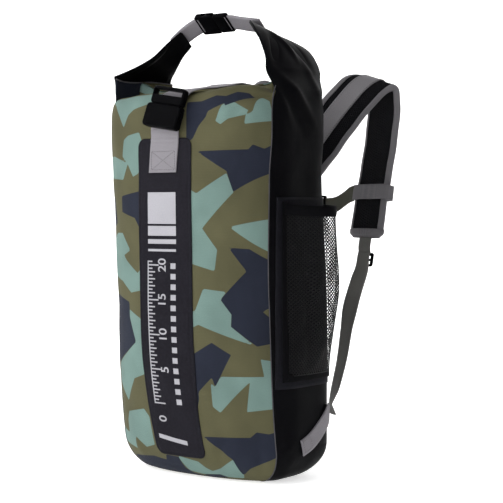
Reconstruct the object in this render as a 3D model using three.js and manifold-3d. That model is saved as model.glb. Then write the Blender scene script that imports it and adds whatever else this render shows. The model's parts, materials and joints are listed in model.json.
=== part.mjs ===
// A roll-top dry backpack: a welded tube with a rolled mouth, one front strap, a carry loop made of
// the mouth's two ends, a shoulder harness with a sternum strap, and a mesh pocket on each side.
// Millimetres, +Z up, origin at the centre of the base, -Y the front, +X the wearer's right side.
import * as THREE from "three";
import { mergeVertices } from "three/addons/utils/BufferGeometryUtils.js";
import Module from "manifold-3d";

// Driving dimensions
const HALF_WIDTH = 152; // bag, side to side
const FRONT_DEPTH = 112; // the bulging front, from the bag's centre plane
const BACK_DEPTH = 103; // the flat back, from the same plane
const FRONT_ROUNDNESS = 2.1; // superellipse powers of the plan outline
const BACK_ROUNDNESS = 6;
const FRONT_SEAM = -25.4; // outline angles of the seams, degrees: 0 is the side, -90 the front
const BACK_SEAM = 38.6;
const BASE_RADIUS = 50; // rounding between the walls and the base
const SHOULDER_Z = 528; // where the walls start to curve in to the mouth
const SHOULDER_RISE = 50;
const CREST_DEPTH = { front: 60, back: 56 }; // depth of the bag at the top of that curve
const SIDE_TOP_Z = 570;
const WALL = 2; // welded fabric, drawn thicker than it is
const GAP = 0.4; // between pieces that touch
const WIDE_WEBBING = 50;
const NARROW_WEBBING = 25;
const WEBBING_THICKNESS = 1.8;
const PATCH = { halfWidth: 50, bottom: 39, top: 494, thickness: 1.4 };
const POCKET = { front: -31, rear: 84, bottom: 146, top: 378, hem: 14, bulge: 33 };
const PAD_WIDTH = 72;
const PAD_THICKNESS = 11;
const HORN_BASE_Z = 592;
const LOOP = { y: 12, z: 671, reach: 68, lean: 40 }; // the carry loop's webbing and its lean, degrees

const rad = THREE.MathUtils.degToRad;
const deg = THREE.MathUtils.radToDeg;
const lerp = THREE.MathUtils.lerp;
const vec = (x, y, z) => new THREE.Vector3(x, y, z);
const steps = (from, to, count) =>
  Array.from({ length: count + 1 }, (_, i) => lerp(from, to, i / count));

// ---------------------------------------------------------------- materials
const finish = (color, roughness, metalness = 0) =>
  new THREE.MeshStandardMaterial({ color, roughness, metalness });
const FINISH = {
  camo: finish("#57553f", 0.8),
  coated: finish("#18181c", 0.45),
  patch: finish("#29282e", 0.55),
  webbing: finish("#9a979c", 0.8),
  darkWebbing: finish("#4a494b", 0.8),
  mesh: finish("#0c0c0f", 0.9),
  foam: finish("#16161a", 0.9),
  buckle: finish("#0d0d10", 0.35),
  board: finish("#2b2c2f", 0.5),
};

const bag = new THREE.Group();
function addPiece(name, geometry, material, parent = bag) {
  const mesh = new THREE.Mesh(geometry, material);
  mesh.name = name;
  parent.add(mesh);
  return mesh;
}

// ---------------------------------------------------------------- shape tools
const wasm = await Module();
wasm.setup();

function toSolid(geometry) {
  const bare = geometry.clone();
  bare.deleteAttribute("normal");
  bare.deleteAttribute("uv");
  const merged = mergeVertices(bare, 1e-3);
  return new wasm.Manifold(
    new wasm.Mesh({
      numProp: 3,
      vertProperties: merged.attributes.position.array,
      triVerts: new Uint32Array(merged.index.array),
    }),
  );
}

function toGeometry(solid) {
  const mesh = solid.getMesh();
  const geometry = new THREE.BufferGeometry();
  geometry.setAttribute("position", new THREE.BufferAttribute(mesh.vertProperties, 3));
  geometry.setIndex(new THREE.BufferAttribute(mesh.triVerts, 1));
  geometry.computeVertexNormals();
  return geometry;
}

const join = (first, ...rest) =>
  toGeometry(rest.reduce((all, one) => all.add(toSolid(one)), toSolid(first)));
const cut = (first, ...rest) =>
  toGeometry(rest.reduce((all, one) => all.subtract(toSolid(one)), toSolid(first)));

// A bent slab: a closed solid whose point at column s and row t is place(s, t, side), side 0 or 1.
function bentSlab(columns, rows, place) {
  const wide = columns.length;
  const tall = rows.length;
  const corners = [];
  for (const side of [0, 1])
    for (const t of rows) for (const s of columns) corners.push(...place(s, t, side).toArray());
  const at = (side, i, j) => (side * tall + j) * wide + i;
  const faces = [];
  const quad = (a, b, c, d) => faces.push(a, b, c, a, c, d);
  for (let j = 0; j < tall - 1; j++)
    for (let i = 0; i < wide - 1; i++) {
      quad(at(1, i, j), at(1, i + 1, j), at(1, i + 1, j + 1), at(1, i, j + 1));
      quad(at(0, i, j), at(0, i, j + 1), at(0, i + 1, j + 1), at(0, i + 1, j));
    }
  for (let i = 0; i < wide - 1; i++) {
    quad(at(0, i, 0), at(0, i + 1, 0), at(1, i + 1, 0), at(1, i, 0));
    quad(at(1, i, tall - 1), at(1, i + 1, tall - 1), at(0, i + 1, tall - 1), at(0, i, tall - 1));
  }
  for (let j = 0; j < tall - 1; j++) {
    quad(at(0, 0, j), at(1, 0, j), at(1, 0, j + 1), at(0, 0, j + 1));
    quad(at(1, wide - 1, j), at(0, wide - 1, j), at(0, wide - 1, j + 1), at(1, wide - 1, j + 1));
  }
  const geometry = new THREE.BufferGeometry();
  geometry.setAttribute("position", new THREE.Float32BufferAttribute(corners, 3));
  geometry.setIndex(faces);
  if (toSolid(geometry).volume() < 0) geometry.setIndex(faces.reverse());
  geometry.computeVertexNormals();
  return geometry;
}

// A sheet of even thickness on surface(s, t), standing off it by lift along its outward normal.
function sheet(columns, rows, surface, thickness, lift = 0) {
  const span = columns.at(-1) - columns[0];
  const height = rows.at(-1) - rows[0];
  const small = 1e-3;
  return bentSlab(columns, rows, (s, t, side) => {
    const along = surface(s + small * span, t).sub(surface(s - small * span, t));
    const up = surface(s, t + small * height).sub(surface(s, t - small * height));
    const normal = along.cross(up).normalize();
    return surface(s, t).addScaledVector(normal, lift + side * thickness);
  });
}

// A flat strap bent along a smooth curve. Each stop is [x, y, z, and the width's direction].
function strap(stops, width, thickness, rowCount, { lift = 0, edge = 1, columns = 2 } = {}) {
  const centre = new THREE.CatmullRomCurve3(stops.map((p) => vec(p[0], p[1], p[2])), false, "centripetal");
  const across = new THREE.CatmullRomCurve3(stops.map((p) => vec(p[3], p[4], p[5])), false, "centripetal");
  return bentSlab(steps(-1, 1, columns), steps(0, 1, rowCount), (s, t, side) => {
    const u = centre.getUtoTmapping(t);
    const forward = centre.getTangent(u);
    const sideways = across.getPoint(u).normalize();
    const normal = forward.clone().cross(sideways).normalize();
    const thick = thickness * (Math.abs(s) === 1 ? edge : 1);
    return centre
      .getPoint(u)
      .addScaledVector(sideways, (s * width) / 2)
      .addScaledVector(normal, lift + (side - 0.5) * thick);
  });
}

function block(x0, x1, y0, y1, z0, z1) {
  return new THREE.BoxGeometry(x1 - x0, y1 - y0, z1 - z0).translate(
    (x0 + x1) / 2,
    (y0 + y1) / 2,
    (z0 + z1) / 2,
  );
}

// A plate with rounded corners and softened edges, its corners at x0, y0 and x1, y1, from z0 to z1.
function roundedPlate(x0, x1, y0, y1, z0, z1, corner, bevel = 0) {
  const outline = new THREE.Shape();
  const [a, b, c, d] = [x0 + bevel, x1 - bevel, y0 + bevel, y1 - bevel];
  const r = Math.max(corner - bevel, 0.2);
  outline.absarc(b - r, d - r, r, 0, Math.PI / 2, false);
  outline.absarc(a + r, d - r, r, Math.PI / 2, Math.PI, false);
  outline.absarc(a + r, c + r, r, Math.PI, 1.5 * Math.PI, false);
  outline.absarc(b - r, c + r, r, 1.5 * Math.PI, 2 * Math.PI, false);
  return new THREE.ExtrudeGeometry(outline, {
    depth: z1 - z0 - 2 * bevel,
    bevelEnabled: bevel > 0,
    bevelThickness: bevel,
    bevelSize: bevel,
    bevelSegments: 1,
    curveSegments: 4,
  }).translate(0, 0, z0 + bevel);
}

// ---------------------------------------------------------------- the bag's skin
// Depth of the front or the back at height z, as the walls curve in to the mouth.
function depthAt(z, full, crest) {
  const rise = THREE.MathUtils.clamp((z - SHOULDER_Z) / SHOULDER_RISE, 0, 1);
  return lerp(crest, full, Math.sqrt(1 - rise * rise));
}

// The plan outline at angle phi: 0 the side, -90 the front's middle, 90 the back's middle.
function outline(phi, z, halfWidth, front, back) {
  const isFront = Math.sin(rad(phi)) < 0;
  const power = 2 / (isFront ? FRONT_ROUNDNESS : BACK_ROUNDNESS);
  const depth = isFront ? front : back;
  const part = (value, size) => Math.sign(value) * size * Math.abs(value) ** power;
  return vec(part(Math.cos(rad(phi)), halfWidth), part(Math.sin(rad(phi)), depth), z);
}

// Heights are counted along the wall: below 0 is the rounding under it, in degrees from upright,
// and above 1 the flat stretch from the crest in to the mouth.
const BASE_EDGE = -78;
const wallRows = (top) => [...steps(BASE_EDGE, 0, 6), 0.5, ...steps(0.9, top, 6)];

function skin(phi, row) {
  if (row < 0) {
    const inset = BASE_RADIUS * (1 - Math.cos(rad(row)));
    const z = BASE_RADIUS * (1 + Math.sin(rad(row)));
    return outline(phi, z, HALF_WIDTH - inset, FRONT_DEPTH - inset, BACK_DEPTH - inset);
  }
  const top = SHOULDER_Z + SHOULDER_RISE;
  const z = Math.min(lerp(BASE_RADIUS, top, row), top);
  const inward = Math.max(row - 1, 0) * 400;
  const front = depthAt(z, FRONT_DEPTH, CREST_DEPTH.front) - inward;
  const back = depthAt(z, BACK_DEPTH, CREST_DEPTH.back) - inward;
  return outline(phi, z - inward * 0.12, HALF_WIDTH, front, back);
}

const rowAt = (z) => (z - BASE_RADIUS) / (SHOULDER_Z + SHOULDER_RISE - BASE_RADIUS);
const MOUTH_ROWS = [1.03, 1.06, 1.09];
const SEAM_GAP = 0.3; // degrees, half of the gap between two panels
const panelLift = -WALL;

function wallPanel(angles, rows) {
  return sheet(angles, rows, skin, WALL, panelLift);
}
const crestRows = [...wallRows(rowAt(575)), 1, ...MOUTH_ROWS];
addPiece(
  "front_panel",
  wallPanel(steps(-180 - FRONT_SEAM + SEAM_GAP, FRONT_SEAM - SEAM_GAP, 16), crestRows),
  FINISH.camo,
);
addPiece(
  "back_panel",
  wallPanel([...steps(BACK_SEAM + SEAM_GAP, 70, 4), 85, 95, ...steps(110, 180 - BACK_SEAM - SEAM_GAP, 4)], crestRows),
  FINISH.coated,
);
const sideAngles = [...steps(FRONT_SEAM + SEAM_GAP, -3, 5), 0, 0.3, 2, 6, 14, 26, BACK_SEAM - SEAM_GAP];
addPiece("right_side_panel", wallPanel(sideAngles, wallRows(rowAt(SIDE_TOP_Z))), FINISH.coated);
const leftAngles = sideAngles.map((angle) => 180 - angle).reverse();
addPiece("left_side_panel", wallPanel(leftAngles, wallRows(rowAt(SIDE_TOP_Z))), FINISH.coated);

const BASE_INSET = BASE_RADIUS * (1 - Math.cos(rad(BASE_EDGE))) + GAP + 0.5;
const baseOutline = new THREE.Shape(
  steps(0, 360, 48)
    .slice(0, -1)
    .map((phi) =>
      outline(phi, 0, HALF_WIDTH - BASE_INSET, FRONT_DEPTH - BASE_INSET, BACK_DEPTH - BASE_INSET),
    )
    .map((p) => new THREE.Vector2(p.x, p.y)),
);
addPiece(
  "base_panel",
  new THREE.ExtrudeGeometry(baseOutline, { depth: 3, bevelEnabled: false }),
  FINISH.coated,
);

// A point on the front or the side, found by its distance across and its height.
const frontAngle = (x) => -deg(Math.acos(Math.sign(x) * Math.abs(x / HALF_WIDTH) ** (FRONT_ROUNDNESS / 2)));
function sideAngle(y) {
  const depth = y < 0 ? FRONT_DEPTH : BACK_DEPTH;
  const power = (y < 0 ? FRONT_ROUNDNESS : BACK_ROUNDNESS) / 2;
  return Math.sign(y) * deg(Math.asin(Math.abs(y / depth) ** power));
}
const onFront = (x, z) => skin(frontAngle(x), rowBelow(z));
const onRightSide = (y, z) => skin(sideAngle(y), rowBelow(z));
function rowBelow(z) {
  return z >= BASE_RADIUS ? rowAt(z) : -deg(Math.asin(1 - z / BASE_RADIUS));
}

// ---------------------------------------------------------------- front patch, webbing and strap
addPiece(
  "front_patch",
  sheet(
    steps(-PATCH.halfWidth, PATCH.halfWidth, 8),
    [...steps(PATCH.bottom, BASE_RADIUS, 2), 200, 350, PATCH.top],
    onFront,
    PATCH.thickness,
    GAP,
  ),
  FINISH.patch,
);
// The front strap and its buckle sit a little off the middle, and the strap runs back to it behind.
const FRONT_STRAP_X = 14;
addPiece(
  "front_webbing",
  sheet(
    steps(-WIDE_WEBBING / 2, WIDE_WEBBING / 2, 4),
    [446, 480, 504],
    (x, z) => onFront(x + lerp(0, 5, (z - 446) / 58), z),
    WEBBING_THICKNESS,
    PATCH.thickness + 2 * GAP,
  ),
  FINISH.webbing,
);
const acrossX = [1, 0, 0];
const overTheTop = [
  [FRONT_STRAP_X - 2, -114.2, 524],
  [FRONT_STRAP_X, -112.2, 542],
  [FRONT_STRAP_X + 3, -103.2, 562],
  [FRONT_STRAP_X + 5, -90, 576],
  [FRONT_STRAP_X + 5, -62, 582.5],
  [FRONT_STRAP_X + 4, -25, 584.5],
  [FRONT_STRAP_X, 25, 584.5],
  [8, 60, 582],
  [3, 86, 572],
  [0, 101, 552],
  [0, 106, 528],
  [0, 106, 470],
].map((p) => [...p, ...acrossX]);
addPiece("front_strap", strap(overTheTop, WIDE_WEBBING, WEBBING_THICKNESS, 34), FINISH.webbing);

// ---------------------------------------------------------------- rolled mouth
// The mouth's hem is wound round a stiff strip: a flattened spiral, run from side to side.
const ROLL = { halfLength: 122, halfThickness: 9, bottom: 547, top: 581, turns: 2.25, cloth: 1.6 };
function rollSpiral(inset) {
  const pitch = 2.6;
  const middle = (ROLL.bottom + ROLL.top) / 2;
  return steps(0, 360 * ROLL.turns, 40).map((angle) => {
    const shrink = (pitch * angle) / 360 + inset;
    const halfHeight = (ROLL.top - ROLL.bottom) / 2 - shrink;
    const halfThickness = ROLL.halfThickness - shrink;
    return new THREE.Vector2(
      halfThickness * Math.sin(rad(angle)),
      middle + halfHeight * Math.cos(rad(angle)),
    );
  });
}
const spiral = new THREE.Shape([...rollSpiral(0), ...rollSpiral(ROLL.cloth).reverse()]);
const alongX = new THREE.Matrix4().makeBasis(vec(0, 1, 0), vec(0, 0, 1), vec(1, 0, 0));
const barAlongX = (shape, halfLength) =>
  new THREE.ExtrudeGeometry(shape, { depth: 2 * halfLength, bevelEnabled: false })
    .translate(0, 0, -halfLength)
    .applyMatrix4(alongX);
addPiece("rolled_mouth", barAlongX(spiral, ROLL.halfLength), FINISH.camo);
addPiece("mouth_stiffener", block(-118, 118, -0.8, 0.8, 557, 570), FINISH.board);

// ---------------------------------------------------------------- horns and carry loop
// Each end of the mouth narrows to a horn that leans in to the carry loop. A stop holds the horn's
// middle and its half width; the width turns from level to the loop's lean towards the tip.
const HORN = [
  { x: 148, y: 18, z: HORN_BASE_Z, half: 68 },
  { x: 141, y: 19, z: 604, half: 62 },
  { x: 127, y: 19, z: 622, half: 50 },
  { x: 106, y: 15, z: 640, half: 34 },
  { x: 86, y: 12, z: 652, half: 21 },
  { x: LOOP.reach, y: LOOP.y, z: 659, half: 14 },
];
const HORN_CURL = 13; // how far the base's front and rear edges turn in
const HORN_THICKNESS = 3;
const LEFT_HORN_FORWARD = 22; // the left horn's base stands this much nearer the front

function hornGeometry(side) {
  const smooth = (key) =>
    new THREE.CatmullRomCurve3(HORN.map((stop, i) => vec(i, stop[key], 0)), false, "centripetal");
  const curves = Object.fromEntries(["x", "y", "z", "half"].map((key) => [key, smooth(key)]));
  const surface = (s, t) => {
    const u = THREE.MathUtils.clamp(t, 0, 1);
    const read = (key) => curves[key].getPoint(u).y;
    const rest = 1 - u;
    const lean = rad(LOOP.lean * u * u);
    const forward = side < 0 ? LEFT_HORN_FORWARD * rest : 0;
    const width = s * read("half");
    return vec(
      side * (read("x") - HORN_CURL * rest * s * s),
      read("y") - forward + width * Math.cos(lean),
      read("z") - width * Math.sin(lean) * u,
    );
  };
  return sheet(steps(-1, 1, 10), steps(0, 1, 12), surface, HORN_THICKNESS, -HORN_THICKNESS / 2);
}
addPiece("right_horn", hornGeometry(1), FINISH.coated);
addPiece("left_horn", hornGeometry(-1), FINISH.coated);

// ---------------------------------------------------------------- side-release buckles
// Built with x across, y from the socket half to the plug half, z out from the webbing.
function buckle(size, placed, names, parent) {
  const { web, width, socket, plug, thick } = size;
  const shell = thick * 0.18;
  const slot = thick * 0.32 + 1.2;
  const bar = thick * 0.3;
  const half = width / 2;
  const inner = half - width * 0.07;
  const arm = { in: half * 0.5, out: inner - 0.6, length: socket * 0.62, root: width * 0.02 + 0.5 };
  const tongue = half * 0.26;

  const female = cut(
    roundedPlate(-half, half, -socket, 0, 0, thick, width * 0.09, thick * 0.12),
    block(-inner, inner, -socket * 0.7, 1, shell, thick - shell),
    block(-half - 1, -inner + 2, -socket * 0.62, 1, thick * 0.26, thick * 0.74),
    block(inner - 2, half + 1, -socket * 0.62, 1, thick * 0.26, thick * 0.74),
    block(-web / 2 - 1, web / 2 + 1, -socket + bar, -socket + bar + slot, -1, thick * 0.6),
  );
  const plugHalf = half * 0.93;
  const male = cut(
    join(
      roundedPlate(-plugHalf, plugHalf, GAP, plug, 0, thick * 0.8, width * 0.08, thick * 0.1),
      block(-tongue, tongue, -socket * 0.6, 2, shell + 0.7, thick * 0.8 - 0.5),
    ),
    block(-web / 2 - 1, web / 2 + 1, plug - bar - 1.5 * slot, plug - bar, -1, thick + 1),
  );
  const prong = (side) => {
    const outlinePoints = [
      [arm.in + 1, -arm.root],
      [arm.out - 2, -arm.root],
      [arm.out - 1, -arm.length * 0.3],
      [half - 0.4, -arm.length * 0.45],
      [half - 0.4, -arm.length * 0.72],
      [arm.out - 1.5, -arm.length],
      [arm.in + 0.5, -arm.length],
      [arm.out - width * 0.1, -arm.length * 0.6],
      [arm.out - width * 0.12, -arm.length * 0.3],
    ].map(([x, y]) => new THREE.Vector2(side * x, y));
    const depth = thick * 0.42;
    return new THREE.ExtrudeGeometry(new THREE.Shape(outlinePoints), {
      depth,
      bevelEnabled: false,
    }).translate(0, 0, (thick - depth) / 2);
  };
  const group = new THREE.Group();
  group.applyMatrix4(placed);
  parent.add(group);
  addPiece(names.female, female, FINISH.buckle, group);
  addPiece(names.male, male, FINISH.buckle, group);
  addPiece(names.prongs[0], prong(-1), FINISH.buckle, group);
  addPiece(names.prongs[1], prong(1), FINISH.buckle, group);
}

// The placing matrix of a buckle: where its joint plane's underside is, its width and its length.
function placing(origin, across, along) {
  const x = vec(...across).normalize();
  const y = vec(...along).normalize();
  return new THREE.Matrix4().makeBasis(x, y, x.clone().cross(y)).setPosition(...origin);
}

const FRONT_BUCKLE = { web: WIDE_WEBBING, width: 62, socket: 34, plug: 26, thick: 14 };
const FRONT_BUCKLE_LEAN = rad(14);
const FRONT_BUCKLE_ROLL = rad(9);
const rolled = (x, y, z) => vec(x, y, z).applyAxisAngle(vec(0, 1, 0), FRONT_BUCKLE_ROLL).toArray();
buckle(
  FRONT_BUCKLE,
  placing(
    [FRONT_STRAP_X, -116, 538],
    rolled(1, 0, 0),
    rolled(0, Math.sin(FRONT_BUCKLE_LEAN), Math.cos(FRONT_BUCKLE_LEAN)),
  ),
  {
    female: "front_buckle_socket",
    male: "front_buckle_plug",
    prongs: ["front_buckle_left_prong", "front_buckle_right_prong"],
  },
  bag,
);

const SMALL_BUCKLE = { web: NARROW_WEBBING, width: 36, socket: 34, plug: 26, thick: 9 };
const loopLean = rad(LOOP.lean);
const loopAcross = [0, -Math.cos(loopLean), Math.sin(loopLean)];
const BUCKLE_SPLIT = -1; // x of the small buckle's joint plane on the carry loop
buckle(
  SMALL_BUCKLE,
  placing([BUCKLE_SPLIT, LOOP.y - 2, LOOP.z - 4], loopAcross, [1, 0, 0]),
  {
    female: "loop_buckle_socket",
    male: "loop_buckle_plug",
    prongs: ["loop_buckle_rear_prong", "loop_buckle_front_prong"],
  },
  bag,
);
// The webbings of the loop. The right one is drawn short, so that the plug has room to slide.
const loopWidth = [0, Math.cos(loopLean), -Math.sin(loopLean)];
const WEBBING_AT_HORN = 661;
const WEBBING_AT_BUCKLE = 669;
const loopWebbing = (outerX, outerZ, innerX) =>
  strap(
    [
      [outerX, LOOP.y, outerZ, ...loopWidth],
      [lerp(outerX, innerX, 0.5), LOOP.y, lerp(outerZ, WEBBING_AT_BUCKLE, 0.6), ...loopWidth],
      [innerX, LOOP.y, WEBBING_AT_BUCKLE, ...loopWidth],
    ],
    NARROW_WEBBING,
    WEBBING_THICKNESS,
    6,
  );
addPiece("left_loop_webbing", loopWebbing(-LOOP.reach + 2, WEBBING_AT_HORN, -36.5), FINISH.webbing);
addPiece("right_loop_webbing", loopWebbing(50, WEBBING_AT_HORN + 3.5, 26.5), FINISH.webbing);

// ---------------------------------------------------------------- side pockets
function pocketBulge(y, z) {
  const across = THREE.MathUtils.clamp((y - POCKET.front) / (POCKET.rear - POCKET.front), 0, 1);
  const up = THREE.MathUtils.clamp((z - POCKET.bottom) / (POCKET.top - POCKET.bottom), 0, 1);
  return POCKET.bulge * Math.sin(Math.PI * across ** 1.25) * (0.12 + 0.88 * Math.sin((up * Math.PI) / 1.7));
}
const BACKING = 1.2; // the welded reinforcement under the pocket
function onPocket(y, z) {
  const point = onRightSide(y, z);
  point.x += pocketBulge(y, z);
  return point;
}
const flipX = new THREE.Matrix4().makeScale(-1, 1, 1);
function mirrorGeometry(geometry) {
  const copy = toGeometry(toSolid(geometry)).applyMatrix4(flipX);
  copy.setIndex([...copy.index.array].reverse());
  copy.computeVertexNormals();
  return copy;
}
function addBothSides(name, geometry, material) {
  addPiece("right_" + name, geometry, material);
  addPiece("left_" + name, mirrorGeometry(geometry), material);
}
const pocketColumns = [...steps(POCKET.front, 76, 10), POCKET.rear];
const backingAngles = sideAngles.slice(1);
addBothSides(
  "pocket_backing",
  sheet(backingAngles, [rowAt(128), rowAt(400)], skin, BACKING, GAP),
  FINISH.coated,
);
addBothSides(
  "pocket_mesh",
  sheet(pocketColumns, steps(POCKET.bottom, POCKET.top, 8), onPocket, 1.5, BACKING + 2 * GAP + 0.6),
  FINISH.mesh,
);
addBothSides(
  "pocket_hem",
  sheet(
    pocketColumns,
    steps(POCKET.top + GAP, POCKET.top + POCKET.hem, 2),
    onPocket,
    2.6,
    BACKING + 2 * GAP,
  ),
  FINISH.foam,
);

// ---------------------------------------------------------------- harness
const YOKE = { halfWidth: 104, bottom: 398, top: 452, thickness: 3 };
const backPlate = (x0, x1, z0, z1, from, thickness, corner) =>
  roundedPlate(x0, x1, z0, z1, 0, thickness, corner, Math.min(thickness * 0.3, 2))
    .rotateX(Math.PI / 2)
    .translate(0, from + thickness, 0);
addPiece(
  "strap_yoke",
  backPlate(-YOKE.halfWidth, YOKE.halfWidth, YOKE.bottom, YOKE.top, BACK_DEPTH + GAP, YOKE.thickness, 12),
  FINISH.foam,
);
addPiece("back_board", backPlate(-96, 96, 60, 520, 93, 4, 14), FINISH.board);
addBothSides("back_pad", backPlate(8, 92, 110, 384, BACK_DEPTH + GAP, 10, 18), FINISH.foam);

// The right shoulder strap, from its root on the yoke over the shoulder and down to its lock.
const PAD_STOPS = [
  [65, 122, 438, 1, 0, 0],
  [78, 160, 492, 0.8, 0.35, -0.45],
  [97, 205, 550, 0.74, 0.43, -0.5],
  [112, 245, 587, 0.8, 0.35, -0.42],
  [120, 271, 592, 0.93, 0.05, -0.25],
  [122, 287, 566, 0.97, -0.2, -0.1],
  [118, 291, 520, 0.97, -0.22, 0],
  [112, 284, 460, 0.97, -0.22, 0],
  [107, 271, 400, 0.97, -0.22, 0],
  [106, 258, 345, 0.97, -0.2, 0],
];
const LOCK_STOPS = [
  [106, 254, 339, 0.97, -0.2, 0],
  [108, 252, 333, 0.97, -0.2, 0],
  [109, 250.3, 326, 0.97, -0.2, 0],
];
const LOWER_STOPS = [
  [106, 246, 299, 0.95, -0.3, 0],
  [98, 241, 274, 0.75, -0.65, 0],
  [97, 228, 245, 0.4, -0.9, 0],
  [100, 212, 208, 0.35, -0.93, 0],
  [103, 190, 160, 0.45, -0.88, 0.1],
  [112, 155, 118, 0.6, -0.75, 0.3],
  [121, 136, 100, 0.7, -0.55, 0.45],
];
const STRIPE_WIDTH = 38;
const STRIPE_LIFT = -(PAD_THICKNESS / 2 + 2 * GAP + WEBBING_THICKNESS / 2);
addBothSides("shoulder_pad", strap(PAD_STOPS, PAD_WIDTH, PAD_THICKNESS, 24, { edge: 0.5, columns: 4 }), FINISH.foam);
addBothSides(
  "strap_webbing",
  strap(PAD_STOPS, STRIPE_WIDTH, WEBBING_THICKNESS, 24, { lift: STRIPE_LIFT }),
  FINISH.webbing,
);
addBothSides("lock_webbing", strap(LOCK_STOPS, NARROW_WEBBING, WEBBING_THICKNESS, 4), FINISH.darkWebbing);
addBothSides("lower_webbing", strap(LOWER_STOPS, NARROW_WEBBING, WEBBING_THICKNESS, 22), FINISH.darkWebbing);

// The ladder lock between them: a frame with two bars, its opening as wide as the webbing.
const LOCK = { half: 17, length: 22, thickness: 4, bar: 3.6, slot: 5 };
const lockPlate = cut(
  roundedPlate(-LOCK.half, LOCK.half, -LOCK.length, 0, 0, LOCK.thickness, 4, 0.8),
  ...[0, 1].map((i) => {
    const low = -LOCK.length + LOCK.bar + i * (LOCK.slot + LOCK.bar);
    return block(-13, 13, low, low + LOCK.slot, -1, LOCK.thickness + 1);
  }),
);
const lockGeometry = lockPlate.applyMatrix4(placing([110, 253.2, 324], [0.97, -0.2, 0], [0.04, 0.2, 0.98]));
addBothSides("ladder_lock", lockGeometry, FINISH.buckle);

// The tabs sewn to the sides near the base, where the lower webbings end.
const TAB_ENDS = { y: [16, 78], z: [54, 84] };
const onTab = (along, across) => {
  const slope = Math.atan2(TAB_ENDS.z[1] - TAB_ENDS.z[0], TAB_ENDS.y[1] - TAB_ENDS.y[0]);
  const y = lerp(TAB_ENDS.y[0], TAB_ENDS.y[1], along) - across * Math.sin(slope);
  const z = lerp(TAB_ENDS.z[0], TAB_ENDS.z[1], along) + across * Math.cos(slope);
  return onRightSide(y, z);
};
addBothSides(
  "anchor_tab",
  sheet(steps(0, 1, 8), steps(-NARROW_WEBBING / 2, NARROW_WEBBING / 2, 2), onTab, WEBBING_THICKNESS, 2 * GAP),
  FINISH.webbing,
);

// ---------------------------------------------------------------- sternum strap
const SLIDER = { x: 108.6, y: 275.1, z: 419, height: 20, clear: 4, band: 1.6 };
const padDown = vec(0, -0.21, -0.98).normalize();
function sliderGeometry() {
  const halfW = PAD_WIDTH / 2 + SLIDER.clear;
  const halfT = PAD_THICKNESS / 2 + WEBBING_THICKNESS + SLIDER.clear;
  const outer = roundedPlate(-halfW, halfW, -halfT, halfT, 0, SLIDER.height, 5);
  const hole = roundedPlate(
    -halfW + SLIDER.band,
    halfW - SLIDER.band,
    -halfT + SLIDER.band,
    halfT - SLIDER.band,
    -1,
    SLIDER.height + 1,
    4,
  );
  const across = vec(0.97, -0.22, 0).normalize();
  const frame = new THREE.Matrix4().makeBasis(across, padDown.clone().cross(across).negate(), padDown.clone().negate());
  return cut(outer, hole)
    .translate(0, 0, -SLIDER.height / 2)
    .applyMatrix4(frame.setPosition(SLIDER.x, SLIDER.y, SLIDER.z));
}
addBothSides("sternum_slider", sliderGeometry(), FINISH.darkWebbing);

const STERNUM = { y: 283, z: 419, sag: 20, split: -12 };
buckle(
  SMALL_BUCKLE,
  placing([STERNUM.split, STERNUM.y, STERNUM.z - STERNUM.sag], [0, 0, -1], [1, 0, 0]),
  {
    female: "sternum_buckle_socket",
    male: "sternum_buckle_plug",
    prongs: ["sternum_upper_prong", "sternum_lower_prong"],
  },
  bag,
);
const sternumWebbing = (side, outer, outerDrop, inner) =>
  strap(
    [
      [side * outer, STERNUM.y - 2, STERNUM.z - outerDrop, 0, 0, 1],
      [side * lerp(outer, inner, 0.5), STERNUM.y - 3, STERNUM.z - lerp(outerDrop, STERNUM.sag, 0.7), 0, 0, 1],
      [side * inner, STERNUM.y - 4, STERNUM.z - STERNUM.sag, 0, 0, 1],
    ],
    NARROW_WEBBING,
    WEBBING_THICKNESS,
    6,
  );
addPiece("left_sternum_webbing", sternumWebbing(-1, 64, 0, 47), FINISH.darkWebbing);
addPiece("right_sternum_webbing", sternumWebbing(1, 49, 9, 15), FINISH.darkWebbing);

export default bag;
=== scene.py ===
# A roll-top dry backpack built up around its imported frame. Shapes are worked out in millimetres in
# the bag's own frame, +Z up and -Y the front, and go into the meshes in metres.
import json
import math

import bmesh
import bpy
from mathutils import Matrix, Vector, noise

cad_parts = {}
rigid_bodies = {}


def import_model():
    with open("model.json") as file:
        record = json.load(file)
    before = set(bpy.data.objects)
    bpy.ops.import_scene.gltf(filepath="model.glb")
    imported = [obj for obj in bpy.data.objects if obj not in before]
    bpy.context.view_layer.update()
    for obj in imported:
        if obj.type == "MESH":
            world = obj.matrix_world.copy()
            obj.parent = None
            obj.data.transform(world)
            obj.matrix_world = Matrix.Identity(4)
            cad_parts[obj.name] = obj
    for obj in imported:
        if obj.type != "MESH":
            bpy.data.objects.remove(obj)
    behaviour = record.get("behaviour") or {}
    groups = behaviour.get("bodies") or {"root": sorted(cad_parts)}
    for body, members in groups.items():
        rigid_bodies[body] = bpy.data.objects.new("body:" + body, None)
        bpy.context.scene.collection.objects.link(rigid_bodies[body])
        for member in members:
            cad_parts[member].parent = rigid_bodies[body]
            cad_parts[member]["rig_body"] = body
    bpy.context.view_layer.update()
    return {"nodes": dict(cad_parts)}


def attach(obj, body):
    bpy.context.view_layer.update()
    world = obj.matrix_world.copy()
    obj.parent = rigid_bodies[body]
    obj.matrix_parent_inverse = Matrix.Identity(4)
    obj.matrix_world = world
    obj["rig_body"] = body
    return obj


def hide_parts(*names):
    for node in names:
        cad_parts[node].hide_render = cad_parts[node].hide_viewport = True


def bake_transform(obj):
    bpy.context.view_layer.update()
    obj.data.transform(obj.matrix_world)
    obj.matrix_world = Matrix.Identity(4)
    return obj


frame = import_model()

MM = 0.001
NODES = frame["nodes"]


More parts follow.
